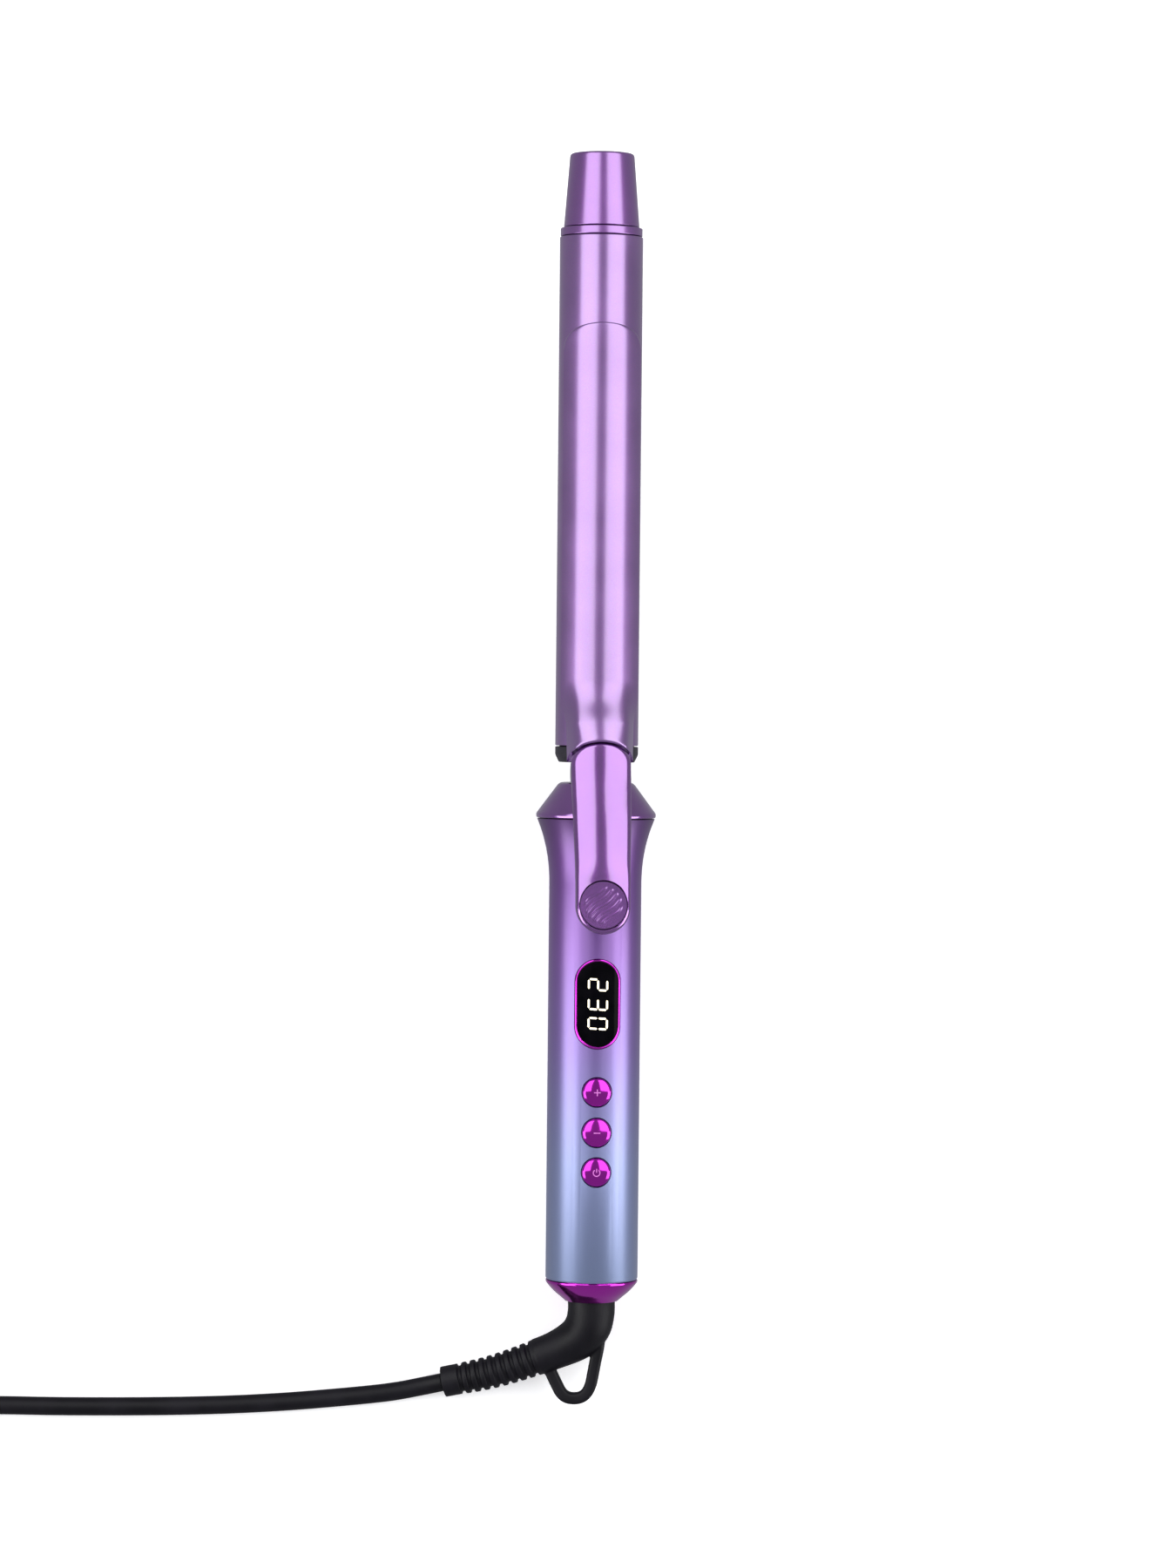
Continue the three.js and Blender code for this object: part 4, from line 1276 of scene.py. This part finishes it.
def rubber():
    """Moulded rubber: a fine matt grain with faint scuffs."""
    material, tree, shader = new_material("black_rubber")
    grain = add_noise(tree, 3500)
    scuffs = add_noise(tree, 140, stretch=(1, 0.4, 1))
    tree.links.new(ramp(tree, scuffs.outputs["Fac"], [(0.35, (7, 6, 12)), (0.7, (14, 12, 20))]),
                   shader.inputs["Base Color"])
    tree.links.new(spread(tree, scuffs.outputs["Fac"], 0.42, 0.55), shader.inputs["Roughness"])
    add_bump(tree, shader, grain.outputs["Fac"], 0.00002)
    shader.inputs["IOR"].default_value = 1.32
    return material


def window_glass():
    """Smoked plastic over the display: nearly black, polished, with a trace of haze."""
    material = surface("window_glass", (3, 3, 5), (7, 6, 10), 0.0, (0.08, 0.14), 200)
    shader = material.node_tree.nodes["Principled BSDF"]
    shader.inputs["IOR"].default_value = 1.12
    return material


def digits_light():
    """The lit bars: a warm white glow, a little uneven."""
    material, tree, shader = new_material("digits_light")
    noise = add_noise(tree, 900)
    glow = ramp(tree, noise.outputs["Fac"], [(0.3, (250, 236, 200)), (0.7, (255, 246, 222))])
    tree.links.new(glow, shader.inputs["Base Color"])
    tree.links.new(glow, shader.inputs["Emission Color"])
    shader.inputs["Emission Strength"].default_value = 0.9
    return material


FINE = 0.00001  # bump height of moulded and drawn surfaces, in metres
FINER = 0.000006
PLASTICS = {
    "black_plastic": ((22, 19, 28), (30, 27, 38), (0.36, 0.46), 1800),
    "grey_plastic": ((120, 120, 126), (134, 134, 140), (0.42, 0.52), 1500),
    "ceramic": ((222, 216, 204), (240, 236, 226), (0.4, 0.6), 1500),
    "board_green": ((14, 78, 44), (26, 102, 58), (0.3, 0.45), 700),
    "wire_red": ((150, 20, 22), (178, 30, 30), (0.36, 0.5), 1200),
    "wire_blue": ((26, 54, 140), (38, 72, 170), (0.36, 0.5), 1200),
    "wire_white": ((214, 212, 204), (236, 234, 228), (0.36, 0.5), 1200),
}
METALS = {
    "aluminium": ((178, 180, 184), (206, 208, 212), (0.28, 0.42), 900, FINE, (1, 0.05, 1)),
    "steel": ((150, 152, 156), (188, 190, 194), (0.22, 0.36), 1200, FINER, (1, 0.08, 1)),
    "brass": ((186, 142, 70), (216, 176, 98), (0.22, 0.38), 900, FINER, (1, 1, 1)),
}


def chrome():
    return surface("magenta_chrome", (196, 34, 196), (206, 44, 204), 1.0, (0.1, 0.16), 40, coat=0.5)


def make_materials():
    materials = {
        "pearl_violet": pearl("pearl_violet", (138, 92, 164), (148, 102, 174)),
        "tip_violet": pearl("tip_violet", (130, 70, 158), (140, 80, 168)),
        "lever_violet": pearl("lever_violet", (126, 60, 154), (138, 70, 166), 0.22, 0.12),
        "handle_fade": handle_fade(),
        "magenta_chrome": chrome(),
        "black_rubber": rubber(),
        "window_glass": window_glass(),
    }
    for name, (dark, light, roughness, grain) in PLASTICS.items():
        materials[name] = surface(name, dark, light, 0.0, roughness, grain, FINE)
    for name, (dark, light, roughness, grain, bump, stretch) in METALS.items():
        materials[name] = surface(name, dark, light, 1.0, roughness, grain, bump, stretch)
    return materials


def dress(materials):
    """Gives every piece and every CAD node the material of its slot."""
    cad = set(NODES.values())
    for node, obj in NODES.items():
        cover(obj, materials[SLOTS[node]])
    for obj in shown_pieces():
        if obj not in cad:
            cover(obj, materials[obj["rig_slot"]])
    cover(bpy.data.objects["lit_digits"], digits_light())
    print_white = surface("sign_print", (222, 112, 216), (234, 138, 228), 0.2, (0.3, 0.4), 800)
    for button in BUTTONS:
        cover(bpy.data.objects[button + "_sign"], print_white)


def cover(obj, material):
    obj.data.materials.clear()
    obj.data.materials.append(material)


# ---- Floor and light ----
FLOOR_HALF = 6
FLOOR_GLOW = 0.3


def add_floor():
    bm = bmesh.new()
    bmesh.ops.create_grid(bm, x_segments=1, y_segments=1, size=FLOOR_HALF)
    floor = finish_mesh("floor", bm)
    floor.location.z = -0.0002
    floor.visible_glossy = False  # the floor isn't reflected, so the lacquer's edges stay dark
    paper = surface("floor_white", (250, 250, 250), (254, 254, 254), 0.0, (0.7, 0.8), 3)
    shader = paper.node_tree.nodes["Principled BSDF"]
    shader.inputs["Emission Color"].default_value = (1, 1, 1, 1)
    shader.inputs["Emission Strength"].default_value = FLOOR_GLOW
    cover(floor, paper)


def add_softbox(name, side, inner, outer, reach, front, back, radiance):
    """A long flat light beside the iron: inner and outer are its edges' angles from overhead, in degrees."""
    inner, outer = math.radians(inner), math.radians(outer)
    middle = (inner + outer) / 2
    data = bpy.data.lights.new(name, "AREA")
    data.shape = "RECTANGLE"
    data.size = 2 * reach * math.tan((outer - inner) / 2)
    data.size_y = front - back
    data.energy = radiance * math.pi * data.size * data.size_y
    light = bpy.data.objects.new(name, data)
    bpy.context.scene.collection.objects.link(light)
    light.location = (side * reach * math.sin(middle), (front + back) / 2, reach * math.cos(middle))
    light.rotation_euler = (0, side * middle, 0)


def add_light():
    """Overhead boxes either side of a dark gap light the barrel; lower ones light the handle's flanks."""
    barrel = {"inner": 12, "outer": 62, "reach": 1.2, "front": 1.6, "back": -0.15, "radiance": 2.2}
    flanks = {"inner": 46, "outer": 86, "reach": 1.1, "front": -0.12, "back": -0.75, "radiance": 3.3}
    for name, side in (("left", -1), ("right", 1)):
        add_softbox("barrel_box_" + name, side, **barrel)
        add_softbox("handle_box_" + name, side, **flanks)
    world = bpy.data.worlds.new("studio")
    world.use_nodes = True
    bpy.context.scene.world = world
    background = world.node_tree.nodes["Background"]
    background.inputs["Color"].default_value = (0.92, 0.93, 1.0, 1)
    background.inputs["Strength"].default_value = 0.33
    bpy.context.scene.view_settings.view_transform = "Standard"


dress(make_materials())
add_floor()
add_light()
